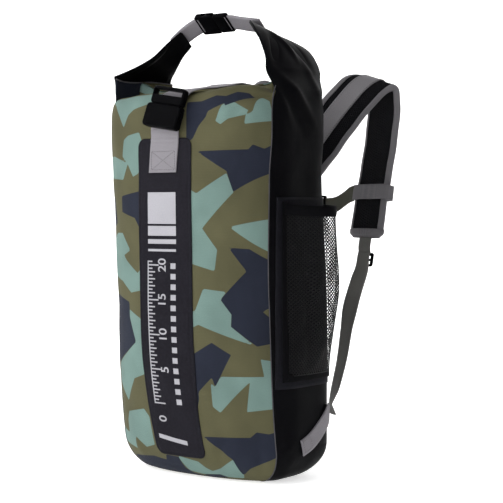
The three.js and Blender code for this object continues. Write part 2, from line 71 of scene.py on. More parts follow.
# ------------------------------------------------------------------ camera
CAMERA_AZIMUTH = math.radians(37)
CAMERA_PLACE = Vector((1.3392, -1.6819, 0.3900))
CAMERA_AIM = Vector((math.cos(CAMERA_AZIMUTH), math.sin(CAMERA_AZIMUTH), 0)) * 0.0574 + Vector((0, 0, 0.33))
camera = bpy.data.objects.new("camera", bpy.data.cameras.new("camera"))
camera.data.lens = 103.3
camera.data.sensor_width = 36
camera.location = CAMERA_PLACE
camera.rotation_euler = (CAMERA_AIM - CAMERA_PLACE).to_track_quat("-Z", "Y").to_euler()
bpy.context.scene.collection.objects.link(camera)
bpy.context.scene.camera = camera
bpy.context.scene.view_settings.view_transform = "Standard"


# ------------------------------------------------------------------ small tools
def lerp(a, b, t):
    return a + (b - a) * t


def clamp(value, low=0.0, high=1.0):
    return min(max(value, low), high)


def smooth(t):
    t = clamp(t)
    return t * t * (3 - 2 * t)


def signed_power(value, power):
    return math.copysign(abs(value) ** power, value)


def linear(colour):
    """A colour written as an sRGB hex value, as the linear value that the nodes take."""
    channels = [int(colour[i : i + 2], 16) / 255 for i in (1, 3, 5)]
    return (*(c / 12.92 if c <= 0.04045 else ((c + 0.055) / 1.055) ** 2.4 for c in channels), 1.0)


def add(material, kind, inputs=None, **settings):
    """Adds one shader node, with its settings, its values and the links that come into it."""
    made = material.node_tree.nodes.new("ShaderNode" + kind)
    for name, value in settings.items():
        setattr(made, name, value)
    for socket, value in (inputs or {}).items():
        if isinstance(value, bpy.types.NodeSocket):
            material.node_tree.links.new(value, made.inputs[socket])
        else:
            made.inputs[socket].default_value = value
    return made


def finish(name, roughness, **sockets):
    """A new material and its shader, whose even values sit on the shader's own sockets."""
    material = bpy.data.materials.new(name)
    material.use_nodes = True
    shader = material.node_tree.nodes["Principled BSDF"]
    shader.inputs["Roughness"].default_value = roughness
    for socket, value in sockets.items():
        shader.inputs[socket.replace("_", " ")].default_value = value
    return material, shader


def link(material, source, target):
    material.node_tree.links.new(source, target)


# ------------------------------------------------------------------ materials
def woven(material, shader, coords, thread, depth):
    """Plain weave: two sets of threads at right angles, thread metres apart."""
    wave = {
        "Vector": coords,
        "Scale": 1 / thread / math.pi,
        "Distortion": 0.6,
        "Detail": 1.0,
        "Detail Scale": 2.0,
    }
    warp = add(material, "TexWave", wave, bands_direction="X")
    weft = add(material, "TexWave", wave, bands_direction="Y")
    both = add(material, "Math", {0: warp.outputs["Fac"], 1: weft.outputs["Fac"]}, operation="MAXIMUM")
    bump = add(material, "Bump", {"Height": both.outputs[0], "Strength": 0.5, "Distance": depth})
    link(material, bump.outputs[0], shader.inputs["Normal"])
    return both.outputs[0]


def mottled(material, coords, colour, darker, lighter, grain):
    """The colour, a little darker and lighter in grains grain metres across and in soft patches."""
    fine = add(material, "TexNoise", {"Vector": coords, "Scale": 1 / grain, "Detail": 2.0})
    soft = add(material, "TexNoise", {"Vector": coords, "Scale": 14.0, "Detail": 2.0})
    level = add(material, "Math", {0: fine.outputs["Fac"], 1: soft.outputs["Fac"]}, operation="ADD")
    shade = add(material, "MapRange", {0: level.outputs[0], 1: 0.7, 2: 1.3, 3: darker, 4: lighter})
    mixed = add(material, "VectorMath", {0: colour, "Scale": shade.outputs[0]}, operation="SCALE")
    return mixed.outputs[0]


def coords_of(material, kind="UV"):
    return add(material, "TexCoord").outputs[kind]


# Woven polyester, printed in large flat splinters and coated: matte, slightly grainy cloth.
def camouflage_print():
    material, shader = finish("camouflage_polyester", 0.82, Specular_IOR_Level=0.12)
    coords = coords_of(material)
    ground = add(material, "RGB")
    ground.outputs[0].default_value = linear("#514F39")
    colour = ground.outputs[0]
    for attribute, ink in (("sage", "#687F79"), ("navy", "#212531")):
        inside = add(material, "Attribute", attribute_name=attribute)
        step = add(material, "MapRange", {0: inside.outputs["Fac"], 1: -0.25, 2: 0.25})
        printed = add(material, "Mix", {0: step.outputs[0], 6: colour, 7: linear(ink)}, data_type="RGBA")
        colour = printed.outputs[2]
    link(material, mottled(material, coords, colour, 0.8, 1.14, 0.0013), shader.inputs["Base Color"])
    woven(material, shader, coords, 0.0022, 0.00025)
    return material


# Nylon coated with thermoplastic polyurethane: smooth, faintly satin, with shallow orange peel.
def coated_nylon(name, colour, roughness):
    material, shader = finish(name, roughness, IOR=1.3, Specular_IOR_Level=0.04)
    coords = coords_of(material, "Object")
    base = add(material, "RGB")
    base.outputs[0].default_value = linear(colour)
    link(material, mottled(material, coords, base.outputs[0], 0.85, 1.15, 0.004), shader.inputs["Base Color"])
    peel = add(material, "TexNoise", {"Vector": coords, "Scale": 700.0, "Detail": 3.0})
    folds = add(material, "TexNoise", {"Vector": coords, "Scale": 11.0, "Detail": 3.0, "Distortion": 0.6})
    fine = add(material, "Bump", {"Height": peel.outputs["Fac"], "Strength": 0.25, "Distance": 0.0003})
    wide = add(
        material,
        "Bump",
        {"Height": folds.outputs["Fac"], "Strength": 0.35, "Distance": 0.006, "Normal": fine.outputs[0]},
    )
    link(material, wide.outputs[0], shader.inputs["Normal"])
    scuff = add(material, "MapRange", {0: folds.outputs["Fac"], 3: roughness - 0.08, 4: roughness + 0.12})
    link(material, scuff.outputs[0], shader.inputs["Roughness"])
    return material


# Nylon webbing: ribs across the strap 1.6 mm apart, drawn coarser than the real thread to show.
def nylon_webbing(name, colour):
    material, shader = finish(name, 0.75, Sheen_Weight=0.05, Sheen_Roughness=0.4, Specular_IOR_Level=0.2)
    coords = coords_of(material)
    base = add(material, "RGB")
    base.outputs[0].default_value = linear(colour)
    height = woven(material, shader, coords, 0.0018, 0.0005)
    # Painted shade and highlight: the colour is darker in the weave's low places and a little lighter on its
    # raised threads.
    shade = add(material, "MapRange", {0: height, 3: 0.78, 4: 1.08})
    groove_shaded_colour = add(material, "VectorMath", {0: base.outputs[0], "Scale": shade.outputs[0]}, operation="SCALE")
    link(material, mottled(material, coords, groove_shaded_colour.outputs[0], 0.92, 1.08, 0.002), shader.inputs["Base Color"])
    return material


# Spacer mesh: a knitted face with small holes in offset rows, 3 mm apart, painted darker than the knit as the
# shade inside them.
def spacer_mesh():
    material, shader = finish("spacer_mesh", 0.9, Specular_IOR_Level=0.08)
    coords = coords_of(material)
    turned = add(material, "Mapping", {"Vector": coords, "Rotation": (0, 0, math.radians(45))})
    holes = add(
        material,
        "TexVoronoi",
        {"Vector": turned.outputs[0], "Scale": 1 / 0.003, "Randomness": 0.0},
        voronoi_dimensions="2D",
    )
    # Painted shade: the holes are coloured darker than the knit around them.
    dark = add(material, "MapRange", {0: holes.outputs["Distance"], 1: 0.2, 2: 0.42})
    colour = add(
        material,
        "Mix",
        {0: dark.outputs[0], 6: linear("#040405"), 7: linear("#141417")},
        data_type="RGBA",
    )
    link(material, colour.outputs[2], shader.inputs["Base Color"])
    bump = add(material, "Bump", {"Height": dark.outputs[0], "Strength": 0.8, "Distance": 0.0008})
    link(material, bump.outputs[0], shader.inputs["Normal"])
    return material


# Moulded acetal: hard, slightly glossy plastic with a fine spark-eroded grain.
def moulded_acetal():
    material, shader = finish("moulded_acetal", 0.36, IOR=1.25, Specular_IOR_Level=0.04)
    coords = coords_of(material, "Object")
    grain = add(material, "TexNoise", {"Vector": coords, "Scale": 1800.0, "Detail": 2.0})
    wear = add(material, "TexNoise", {"Vector": coords, "Scale": 90.0, "Detail": 4.0})
    rough = add(material, "MapRange", {0: wear.outputs["Fac"], 3: 0.28, 4: 0.46})
    link(material, rough.outputs[0], shader.inputs["Roughness"])
    dark, light = linear("#050506"), linear("#0A0A0C")
    colour = add(material, "Mix", {0: wear.outputs["Fac"], 6: dark, 7: light}, data_type="RGBA")
    link(material, colour.outputs[2], shader.inputs["Base Color"])
    bump = add(material, "Bump", {"Height": grain.outputs["Fac"], "Strength": 0.3, "Distance": 0.0002})
    link(material, bump.outputs[0], shader.inputs["Normal"])
    return material


# Silver screen print: flat ink with a faint metallic shimmer, a little mottled.
def silver_print():
    material, shader = finish("silver_print", 0.45, Metallic=0.25)
    coords = coords_of(material, "Object")
    base = add(material, "RGB")
    base.outputs[0].default_value = linear("#9C9BA1")
    link(material, mottled(material, coords, base.outputs[0], 0.88, 1.05, 0.0015), shader.inputs["Base Color"])
    return material


# Polyester thread, twisted and slightly shiny.
def sewing_thread(name, colour):
    material, shader = finish(name, 0.6, Sheen_Weight=0.3)
    coords = coords_of(material, "Object")
    base = add(material, "RGB")
    base.outputs[0].default_value = linear(colour)
    link(material, mottled(material, coords, base.outputs[0], 0.8, 1.1, 0.0008), shader.inputs["Base Color"])
    return material


CAMO = camouflage_print()
COATED = coated_nylon("coated_nylon", "#0C0C0E", 0.45)
PATCH_CLOTH = coated_nylon("patch_cloth", "#1F1E23", 0.65)
TRIM = coated_nylon("trim_tape", "#0D0D0F", 0.6)
LINING = coated_nylon("roll_lining", "#0D0D0F", 0.5)
GREY_WEBBING = nylon_webbing("grey_webbing", "#817E83")
STRAP_WEBBING = nylon_webbing("strap_webbing", "#777578")
BINDING_TAPE = nylon_webbing("binding_tape", "#666467")
LOWER_WEBBING = nylon_webbing("lower_webbing", "#605F5C")
STERNUM_WEBBING = nylon_webbing("sternum_webbing", "#48483F")
SPACER_MESH = spacer_mesh()
NET = nylon_webbing("pocket_net", "#060607")
BACKING = coated_nylon("pocket_backing", "#19191D", 0.5)
ACETAL = moulded_acetal()
SILVER = silver_print()
DARK_THREAD = sewing_thread("dark_thread", "#2C2B2E")
PALE_THREAD = sewing_thread("pale_thread", "#5A575C")
BOARD = coated_nylon("back_board_sheet", "#2B2C2F", 0.5)


# ------------------------------------------------------------------ making pieces
def add_object(name, bm, material, smooth_faces=True):
    mesh = bpy.data.meshes.new(name)
    bm.to_mesh(mesh)
    bm.free()
    mesh.materials.append(material)
    if smooth_faces:
        mesh.shade_smooth()
    piece = bpy.data.objects.new(name, mesh)
    bpy.context.scene.collection.objects.link(piece)
    return piece


def sheet(name, counts, surface, material, lift=0.0, thickness=0.0, size=(0.1, 0.1), paint=None):
    """A cloth sheet on surface(u, v), whose outer face stands lift off it. size is its size in metres."""
    bm = bmesh.new()
    uv = bm.loops.layers.uv.new("UVMap")
    layers = {key: bm.verts.layers.float.new(key) for key in (paint or {})}
    bmesh.ops.create_grid(bm, x_segments=counts[0], y_segments=counts[1], size=0.5)
    place = {vert: (vert.co.x + 0.5, vert.co.y + 0.5) for vert in bm.verts}
    for face in bm.faces:
        for loop in face.loops:
            u, v = place[loop.vert]
            loop[uv].uv = (u * size[0], v * size[1])
    for vert, (u, v) in place.items():
        vert.co = surface(u, v) * MM
        for key, layer in layers.items():
            vert[layer] = paint[key](u, v)
    bm.normal_update()
    if lift:
        raised = {vert: vert.co + vert.normal * lift * MM for vert in bm.verts}
        for vert, spot in raised.items():
            vert.co = spot
    piece = add_object(name, bm, material)
    if thickness:
        wall = piece.modifiers.new("thickness", "SOLIDIFY")
        wall.thickness = thickness * MM
        wall.offset = -1
        wall.use_rim = True
    return piece


def settle(piece, body, slot, *nodes):
    """Puts a finished piece on its body, and in place of the CAD nodes that it stands for."""
    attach(piece, body)
    if nodes:
        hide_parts(*nodes)
    return piece


# ------------------------------------------------------------------ the bag's skin
HALF_WIDTH = 152
FRONT_DEPTH = 112
BACK_DEPTH = 103
BACK_ROUNDNESS = 6
BASE_RADIUS = 50
SHOULDER_Z = 528
SHOULDER_RISE = 50
CREST_FRONT = 60
CREST_BACK = 56
BACK_SEAM = 38.6
WALL_TOP = SHOULDER_Z - BASE_RADIUS  # heights along the wall, from where the base's rounding ends
CREST = WALL_TOP + 70
BASE_END = -BASE_RADIUS * math.radians(88)
MOUTH_END = CREST + 46


def half_width(z):
    return HALF_WIDTH + 5 * smooth((400 - z) / 250) + 4.5 * smooth((z - 440) / 60)


def front_depth(z):
    return FRONT_DEPTH - 52 * clamp((330 - z) / 330) ** 3


def back_depth(z):
    return BACK_DEPTH - 11 * clamp((z - 300) / 150)


def front_roundness(z):
    return 2.1 + 0.6 * clamp((z - 250) / 180)


def front_seam(z):
    return -25.4 + 3.6 * smooth((z - 260) / 200)


def outline(phi, z, width, front, back):
    """The plan outline at angle phi in degrees: 0 the side, -90 the front, 90 the back."""
    c, s = math.cos(math.radians(phi)), math.sin(math.radians(phi))
    power = 2 / (front_roundness(z) if s < 0 else BACK_ROUNDNESS)
    return Vector((signed_power(c, power) * width, signed_power(s, power) * (front if s < 0 else back), z))


def skin(phi, along):
    """A point of the bag's wall, along millimetres up it; below 0 it rounds in under the bag."""
    if along < 0:
        turn = along / BASE_RADIUS
        inset = BASE_RADIUS * (1 - math.cos(turn))
        z = BASE_RADIUS * (1 + math.sin(turn))
        depths = front_depth(z + inset) - inset, back_depth(z) - inset
        return outline(phi, z, half_width(z) - inset, *depths)
    if along <= WALL_TOP:
        z = BASE_RADIUS + along
        return outline(phi, z, half_width(z), front_depth(z), back_depth(z))
    turn = math.radians(90) * clamp((along - WALL_TOP) / (CREST - WALL_TOP))
    inward = max(along - CREST, 0)
    front = lerp(CREST_FRONT, FRONT_DEPTH, math.cos(turn)) - inward
    back = lerp(CREST_BACK, back_depth(SHOULDER_Z), math.cos(turn)) - inward
    z = SHOULDER_Z + SHOULDER_RISE * math.sin(turn) - inward * 0.12
    top = outline(phi, SHOULDER_Z, half_width(SHOULDER_Z), max(front, 8), max(back, 8))
    top.z = z
    return top


def along_at(z):
    """How far up the wall a height is."""
    if z < BASE_RADIUS:
        return -BASE_RADIUS * math.asin(clamp(1 - z / BASE_RADIUS))
    if z <= SHOULDER_Z:
        return z - BASE_RADIUS
    return WALL_TOP + (CREST - WALL_TOP) * math.asin(clamp((z - SHOULDER_Z) / SHOULDER_RISE)) / math.radians(90)


def on_front(x, z):
    inset = BASE_RADIUS - math.sqrt(max(BASE_RADIUS**2 - (BASE_RADIUS - z) ** 2, 0)) if z < BASE_RADIUS else 0
    across = clamp(x / (half_width(z) - inset), -1, 1)
    phi = -math.degrees(math.acos(signed_power(across, front_roundness(z) / 2)))
    return skin(phi, along_at(z))


def on_side(y, z, side=1):
    roundness = front_roundness(z) if y < 0 else BACK_ROUNDNESS
    depth = front_depth(z) if y < 0 else back_depth(z)
    phi = math.degrees(math.asin(signed_power(clamp(y / depth, -1, 1), roundness / 2)))
    point = skin(phi, along_at(z))
    point.x *= side
    return point


def crease(x, z, start, end, width, depth):
    """How far a fold from start to end, width millimetres wide, moves the cloth at x, z."""
    a, b, p = Vector(start), Vector(end), Vector((x, z))
    line = b - a
    t = clamp((p - a).dot(line) / line.length_squared)
    away = (p - (a + line * t)).length / width
    taper = math.sin(math.pi * clamp(0.08 + 0.84 * t))
    return depth * math.exp(-away * away) * taper


# Folds of the front near its top, as (start, end, width, depth) in x and z.
FRONT_FOLDS = (
    ((150, 566), (112, 552), 9, -9),
    ((146, 548), (98, 530), 8, 4.5),
    ((128, 540), (96, 512), 6, -3),
    ((140, 520), (104, 498), 10, 3),
    ((60, 560), (96, 566), 8, 2.5),
    ((40, 536), (88, 516), 9, -2.5),
    ((-96, 560), (-60, 536), 12, -2.5),
    ((-120, 530), (-92, 470), 14, 2.5),
    ((70, 500), (120, 470), 16, -1.6),
    ((60, 30), (78, 62), 8, -3),
    ((92, 18), (130, 36), 7, 3),
    ((118, 12), (128, 58), 6, -2.5),
    ((-100, 60), (-80, 20), 12, 2.0),
)


def front_ripple(x, z):
    low = noise.noise(Vector((x / 55, z / 90, 3.1))) * 1.6 + noise.noise(Vector((x / 22, z / 30, 7.7))) * 0.5
    return low + sum(crease(x, z, *fold) for fold in FRONT_FOLDS)


# ------------------------------------------------------------------ the printed splinters
# Outlines in x and z on the front, cut from a few straight edges each.
SAGE_SPLINTERS = (
    (
        (-140, 566), (-22, 570), (-14, 552), (-45, 543), (-62, 538), (-72, 530), (-83, 512),
        (-96, 530), (-112, 548),
    ),
    ((99, 541), (112, 542), (128, 530), (125, 524), (103, 519), (93, 511), (86, 516), (95, 538)),
    ((138, 556), (146, 546), (150, 516), (124, 511), (125, 524), (132, 528)),
    ((-82, 494), (-72, 500), (-49, 504), (-44, 493), (-50, 445), (-62, 440), (-74, 459), (-86, 470)),
    ((-146, 470), (-113, 471), (-86, 464), (-74, 459), (-86, 436), (-146, 440)),
    ((44, 422), (57, 415), (101, 443), (110, 417), (65, 366), (86, 336), (82, 306), (44, 317)),
    ((103, 368), (152, 381), (152, 324)),
    (
        (-110, 358), (-93, 358), (-72, 333), (-90, 325), (-81, 317), (-55, 300), (-48, 306),
        (-48, 275), (-72, 271), (-96, 287), (-150, 300), (-150, 340),
    ),
    (
        (44, 248), (52, 249), (65, 281), (97, 277), (89, 266), (102, 245), (101, 228), (128, 201),
        (57, 230), (44, 224),
    ),
    (
        (-79, 246), (-50, 234), (-44, 195), (-44, 154), (-75, 144), (-100, 108), (-126, 136),
        (-120, 163), (-64, 199), (-79, 234),
    ),
    (
        (85, 157), (136, 157), (133, 182), (152, 176), (152, 112), (115, 107), (121, 150),
        (80, 105), (70, 113), (70, 147), (76, 142),
    ),
    (
        (-104, 91), (-60, 100), (-50, 89), (-50, 46), (-71, 40), (-92, 54), (-98, 34), (-150, 40),
        (-150, 62), (-115, 57), (-113, 76),
    ),
    (
        (-8, 34), (27, 28), (35, 19), (43, 14), (60, 20), (86, 36), (91, 11), (86, 0), (62, 0),
        (52, 7), (20, 2), (0, 8),
    ),
)
NAVY_SPLINTERS = (
    (
        (40, 546), (64, 546), (84, 555), (98, 553), (110, 561), (124, 562), (132, 554), (113, 543),
        (100, 537), (98, 541), (74, 529), (71, 522), (60, 509), (50, 491), (40, 488),
    ),
    ((58, 474), (127, 476), (132, 483), (142, 477), (152, 486), (152, 448), (109, 417), (101, 446)),
    ((-92, 412), (-48, 419), (-46, 362), (-59, 380), (-92, 389)),
    (
        (101, 339), (125, 337), (152, 312), (152, 262), (135, 249), (152, 226), (152, 206),
        (130, 200), (101, 228), (102, 245), (89, 266), (121, 306),
    ),
    ((-150, 262), (-115, 266), (-79, 257), (-79, 234), (-64, 199), (-123, 163), (-150, 190)),
    ((44, 186), (75, 205), (100, 188), (85, 158), (76, 142), (72, 155), (50, 133), (50, 123), (44, 103)),
    (
        (48, 68), (116, 70), (124, 78), (137, 75), (152, 80), (152, 46), (134, 36), (108, 24),
        (90, 11), (86, 36),
    ),
    ((-120, 20), (-62, 27), (-36, 24), (-32, 33), (-7, 32), (-5, 14), (4, 2), (30, -6), (-110, -6)),
    ((20, 1), (52, 7), (62, -2), (30, -8)),
    ((-150, 425), (-118, 410), (-112, 372), (-150, 360)),
)


def inside_by(polygon, x, z):
    """How far x, z is inside a polygon, in millimetres, and negative outside it."""
    nearest = 1e9
    odd = False
    for (ax, az), (bx, bz) in zip(polygon, polygon[1:] + polygon[:1]):
        dx, dz = bx - ax, bz - az
        t = clamp(((x - ax) * dx + (z - az) * dz) / (dx * dx + dz * dz))
        nearest = min(nearest, math.hypot(x - ax - dx * t, z - az - dz * t))
        if (az > z) != (bz > z) and x < ax + dx * (z - az) / dz:
            odd = not odd
    return nearest if odd else -nearest


def splinter_field(polygons):
    return lambda x, z: max(inside_by(polygon, x, z) for polygon in polygons)


in_sage = splinter_field(SAGE_SPLINTERS)
in_navy = splinter_field(NAVY_SPLINTERS)


# ------------------------------------------------------------------ front, back and base
FRONT_GRID = (150, 200)


def front_place(u, v):
    along = lerp(BASE_END, MOUTH_END, v)
    z = skin(-90, along).z
    seam = front_seam(z)
    phi = lerp(-180 - seam, seam, u)
    return phi, along


def front_surface(u, v):
    phi, along = front_place(u, v)
    point = skin(phi, along)
    x = point.x
    rise = clamp((along - CREST) / 46)
    move = front_ripple(x, point.z if along < CREST else 580 + (along - CREST))
    edge = smooth(min(u, 1 - u) * 30) * smooth(v * 14)
    outward = Vector((x / HALF_WIDTH * 0.35, -1, 0)).normalized()
    if along > WALL_TOP:
        outward = outward.lerp(Vector((0, 0, 1)), smooth((along - WALL_TOP) / (CREST - WALL_TOP)))
    point += outward * move * edge * (1 - rise)
    sag = smooth((along - WALL_TOP) / (CREST - WALL_TOP))
    # The crest sags overall, more under the strap and to the left, and stands up near the right horn.
    ridge = -12 - 5 * smooth((-x - 20) / 90)
    ridge += 3 * math.exp(-(((x - 105) / 26) ** 2)) - 5 * math.exp(-(((x - 25) / 55) ** 2))
    point.z += ridge * sag
    tuck = smooth((x - 118) / 26) * sag
    point.z -= 10 * tuck * (1 - smooth((x - 143) / 9))
    return point


def painted(field):
    def value(u, v):
        phi, along = front_place(u, v)
        point = skin(phi, along)
        height = point.z if along < CREST else 578 + (along - CREST)
        if along < 0:
            height = point.z - 0.35 * max(-along - 40, 0)
        return field(point.x, height)

    return value


front_panel = sheet(
    "front_panel_cloth",
    FRONT_GRID,
    front_surface,
    CAMO,
    thickness=1.2,
    size=(0.4, 0.68),
    paint={"sage": painted(in_sage), "navy": painted(in_navy)},
)
settle(front_panel, "bag", "camo_fabric", "front_panel")


def back_surface(u, v):
    along = lerp(BASE_END, MOUTH_END, v)
    phi = lerp(BACK_SEAM, 180 - BACK_SEAM, u)
    point = skin(phi, along)
    point.y += noise.noise(Vector((point.x / 60, point.z / 70, 1.3))) * 1.2 * smooth(min(u, 1 - u) * 12)
    return point


back_panel = sheet("back_panel_cloth", (60, 120), back_surface, COATED, thickness=1.2, size=(0.28, 0.68))
settle(back_panel, "bag", "coated_fabric", "back_panel")


def base_surface(u, v):
    """The flat base: rings that shrink from the wall's lower edge to the middle."""
    phi = 360 * u
    edge = skin(phi, BASE_END)
    point = edge.lerp(Vector((0, 0, 0.8)), smooth(v) if v < 1 else 1)
    point.z = 0.6 + 0.2 * math.sin(v * 9)
    return point


base = sheet("base_cloth", (72, 8), base_surface, COATED, size=(0.6, 0.1))
merge = bmesh.new()
merge.from_mesh(base.data)
bmesh.ops.remove_doubles(merge, verts=merge.verts, dist=1e-5)
bmesh.ops.recalc_face_normals(merge, faces=merge.faces)
bmesh.ops.reverse_faces(merge, faces=[f for f in merge.faces if f.normal.z > 0])
merge.to_mesh(base.data)
merge.free()
settle(base, "bag", "coated_fabric", "base_panel")


# ------------------------------------------------------------------ sides and horns
LOOP_Y = 12
LOOP_LEAN = 40
# Stops from each horn's foot to its tip: x away from the middle, y, z and half the horn's width.
HORN_STOPS = {
    1: (
        (148, 18, 592, 68), (141, 19, 608, 64), (127, 18, 629, 60), (107, 15, 646, 51),
        (85, 12, 654, 32), (70, 12, 655, 17),
    ),
    -1: (
        (148, 18, 592, 66), (137, 18, 599, 55), (119, 16, 608, 42), (101, 14, 619, 30),
        (82, 12, 635, 22), (62, 12, 650, 16),
    ),
}
HORN_CURL = 13
LEFT_HORN_FORWARD = 22


def spline(values, t):
    """A smooth curve through values, t from 0 to 1."""
    last = len(values) - 1
    place = clamp(t) * last
    i = min(int(place), last - 1)
    f = place - i
    before = values[i - 1] if i > 0 else 2 * values[0] - values[1]
    after = values[i + 2] if i + 2 <= last else 2 * values[last] - values[last - 1]
    p0, p1, p2, p3 = before, values[i], values[i + 1], after
    square = (2 * p0 - 5 * p1 + 4 * p2 - p3) * f**2
    cube = (3 * p1 - p0 - 3 * p2 + p3) * f**3
    return 0.5 * (2 * p1 + (p2 - p0) * f + square + cube)


def horn_point(side, s, t):
    x, y, z, half = (spline([stop[k] for stop in HORN_STOPS[side]], t) for k in range(4))
    rest = 1 - clamp(t)
    lean = math.radians(LOOP_LEAN * t * t)
    forward = LEFT_HORN_FORWARD * rest if side < 0 else 0
    width = s * half
    return Vector(
        (
            side * (x - HORN_CURL * rest * s * s),
            y - forward + width * math.cos(lean),
            z - width * math.sin(lean) * t,
        )
    )


# Folds of the sides and horns, as (start, end, width, depth) in y and height.
SIDE_FOLDS = (
    ((-40, 590), (36, 520), 7, 4.0),
    ((-46, 575), (10, 505), 9, -3.0),
    ((-10, 640), (-30, 600), 7, -5.0),
    ((0, 655), (18, 606), 6, 4.5),
    ((20, 650), (50, 590), 8, -4.0),
    ((30, 610), (64, 540), 9, 2.5),
    ((-48, 560), (-20, 528), 7, 2.5),
    ((60, 560), (86, 480), 12, -2.0),
    ((-44, 36), (-10, 60), 9, 2.0),
    ((-30, 14), (30, 30), 9, -2.0),
)
SIDE_TOP = along_at(556)
SIDE_HORN_SPLIT = 0.74


def side_surface(side):
    def place(u, v):
        s = 2 * u - 1 if side > 0 else 1 - 2 * u
        if v < SIDE_HORN_SPLIT:
            along = lerp(BASE_END, SIDE_TOP, v / SIDE_HORN_SPLIT)
            t = 0.0
        else:
            t = (v - SIDE_HORN_SPLIT) / (1 - SIDE_HORN_SPLIT)
            along = SIDE_TOP
        z = skin(0, along).z
        seam = front_seam(z)
        phi = lerp(seam, BACK_SEAM, (s + 1) / 2)
        # Even spacing in depth rather than in angle, because the outline is nearly square behind.
        front_y, back_y = skin(seam, along).y, skin(BACK_SEAM, along).y
        y = lerp(front_y, back_y, (s + 1) / 2)
        base = skin(phi, along) if along < 0 else on_side(y, z)
        base.x *= side
        if t > 0:
            low = on_side(y, 556)
            low.x *= side
            rise = 0.14
            if t < rise:
                horn = horn_point(side, s, 0)
                k = smooth(t / rise)
                point = low.lerp(horn, t / rise)
                point.x = lerp(low.x, horn.x, k)
            else:
                point = horn_point(side, s, (t - rise) / (1 - rise))
        else:
            point = base
        height = point.z
        ripple = noise.noise(Vector((point.y / 45, height / 60, 5.0 + side))) * 1.6
        ripple += sum(crease(point.y, height, *fold) for fold in SIDE_FOLDS)
        hold = smooth(min(u, 1 - u) * 9) * smooth(v * 16) * (1 - 0.6 * smooth((height - 640) / 30))
        calm = 1 - 0.75 * smooth((height - 120) / 20) * smooth((420 - height) / 20)
        point.x += side * ripple * hold * calm
        return point

    return place


def add_side(word, side):
    piece = sheet(
        word + "_side_cloth",
        (44, 190),
        side_surface(side),
        COATED,
        thickness=1.6,
        size=(0.16, 0.8),
    )
    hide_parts(word + "_side_panel", word + "_horn")
    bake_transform(piece)
    # Inside the horn the cloth is folded double: a second layer, set in a little.
    inner = sheet(
        word + "_horn_fold",
        (24, 50),
        lambda u, v: horn_point(side, (1 - 2 * u) * side * 0.9, v) - Vector((side * lerp(3.6, 2.6, v), 0, 0.6)),
        LINING,
        thickness=1.2,
        size=(0.12, 0.15),
    )
    settle(inner, "carry_loop", "coated_fabric")
    return piece


add_side("right", 1)
add_side("left", -1)


def front_cloth(x, z):
    """A point of the front cloth itself, with its ripples, so that what is sewn on lies on it."""
    point = on_front(x, z)
    low = noise.noise(Vector((x / 55, z / 90, 3.1))) * 1.6 + noise.noise(Vector((x / 22, z / 30, 7.7))) * 0.5
    hold = smooth((along_at(z) - BASE_END) / (MOUTH_END - BASE_END) * 14)
    return point + Vector((x / HALF_WIDTH * 0.35, -1, 0)).normalized() * max(low, -0.6) * hold


# ------------------------------------------------------------------ patch and its print
PATCH_HALF = 49
PATCH_BOTTOM = 34
PATCH_TOP = 494
PATCH_CORNER = 12
PATCH_LIFT = 1.9


def patch_half(z):
    """Half the patch's width at a height: a little narrower low down, and round at its corners."""
    half = PATCH_HALF - 3.5 * smooth((190 - z) / 150)
    for edge in (PATCH_TOP - z, z - PATCH_BOTTOM):
        if edge < PATCH_CORNER:
            half -= PATCH_CORNER - math.sqrt(max(PATCH_CORNER**2 - (PATCH_CORNER - edge) ** 2, 0))
    return half


def patch_edge(x, z):
    """Distance in from the patch's edge."""
    return min(PATCH_TOP - z, z - PATCH_BOTTOM, patch_half(z) - abs(x))


def patch_row(v):
    """Heights bunched at both ends, where the corners are."""
    if v < 0.1:
        return PATCH_BOTTOM + 24 * (v / 0.1) ** 1.6
    if v > 0.9:
        return PATCH_TOP - 24 * ((1 - v) / 0.1) ** 1.6
    return lerp(PATCH_BOTTOM + 24, PATCH_TOP - 24, (v - 0.1) / 0.8)


def on_patch(x, z, lift=0.0):
    """A point over the patch's face; a shallow groove runs 5 mm inside its edge."""
    low, high = front_cloth(x - 1, z), front_cloth(x + 1, z)
    up = front_cloth(x, z + 1) - front_cloth(x, z - 1)
    normal = (high - low).cross(up).normalized()
    edge = patch_edge(x, z)
    groove = 0.7 * math.exp(-(((edge - 5) / 1.2) ** 2))
    roll = 1.0 * (1 - smooth(edge / 2.0))
    return front_cloth(x, z) + normal * (PATCH_LIFT - groove - roll + lift)


def patch_surface(u, v):
    z = patch_row(v)
    half = patch_half(z)
    s = 2 * u - 1
    return on_patch(half * math.copysign(1 - (1 - abs(s)) ** 1.25, s), z)


patch = sheet("front_patch_cloth", (48, 150), patch_surface, PATCH_CLOTH, thickness=1.2, size=(0.1, 0.46))
settle(patch, "bag", "patch_fabric", "front_patch")

PRINT_LIFT = 0.35


def print_bar(bm, x0, x1, z0, z1, slant=0.0):
    """One printed bar on the patch, cut into cells small enough to follow it."""
    across, up = max(int((x1 - x0) / 3), 1), max(int((z1 - z0) / 4), 1)
    made = bmesh.ops.create_grid(bm, x_segments=across, y_segments=up, size=0.5)
    for vert in made["verts"]:
        x = lerp(x0, x1, vert.co.x + 0.5)
        z = lerp(z0, z1, vert.co.y + 0.5) - slant * (x - x0)
        vert.co = on_patch(x, z, PRINT_LIFT) * MM


def ruler_number(bm, number, x, z, size):
    """A number of the ruler, laid on its side up the patch as the scale runs."""
    curve = bpy.data.curves.new("number", "FONT")
    curve.body = str(number)
    curve.size = size
    curve.align_x = "CENTER"
    curve.align_y = "CENTER"
    curve.offset = 0.25
    flat = bpy.data.objects.new("number", curve)
    bpy.context.scene.collection.objects.link(flat)
    bpy.context.view_layer.update()
    mesh = bpy.data.meshes.new_from_object(flat)
    bpy.data.objects.remove(flat)
    for vert in mesh.vertices:
        vert.co = on_patch(x - vert.co.y, z + vert.co.x, PRINT_LIFT) * MM
    bm.from_mesh(mesh)


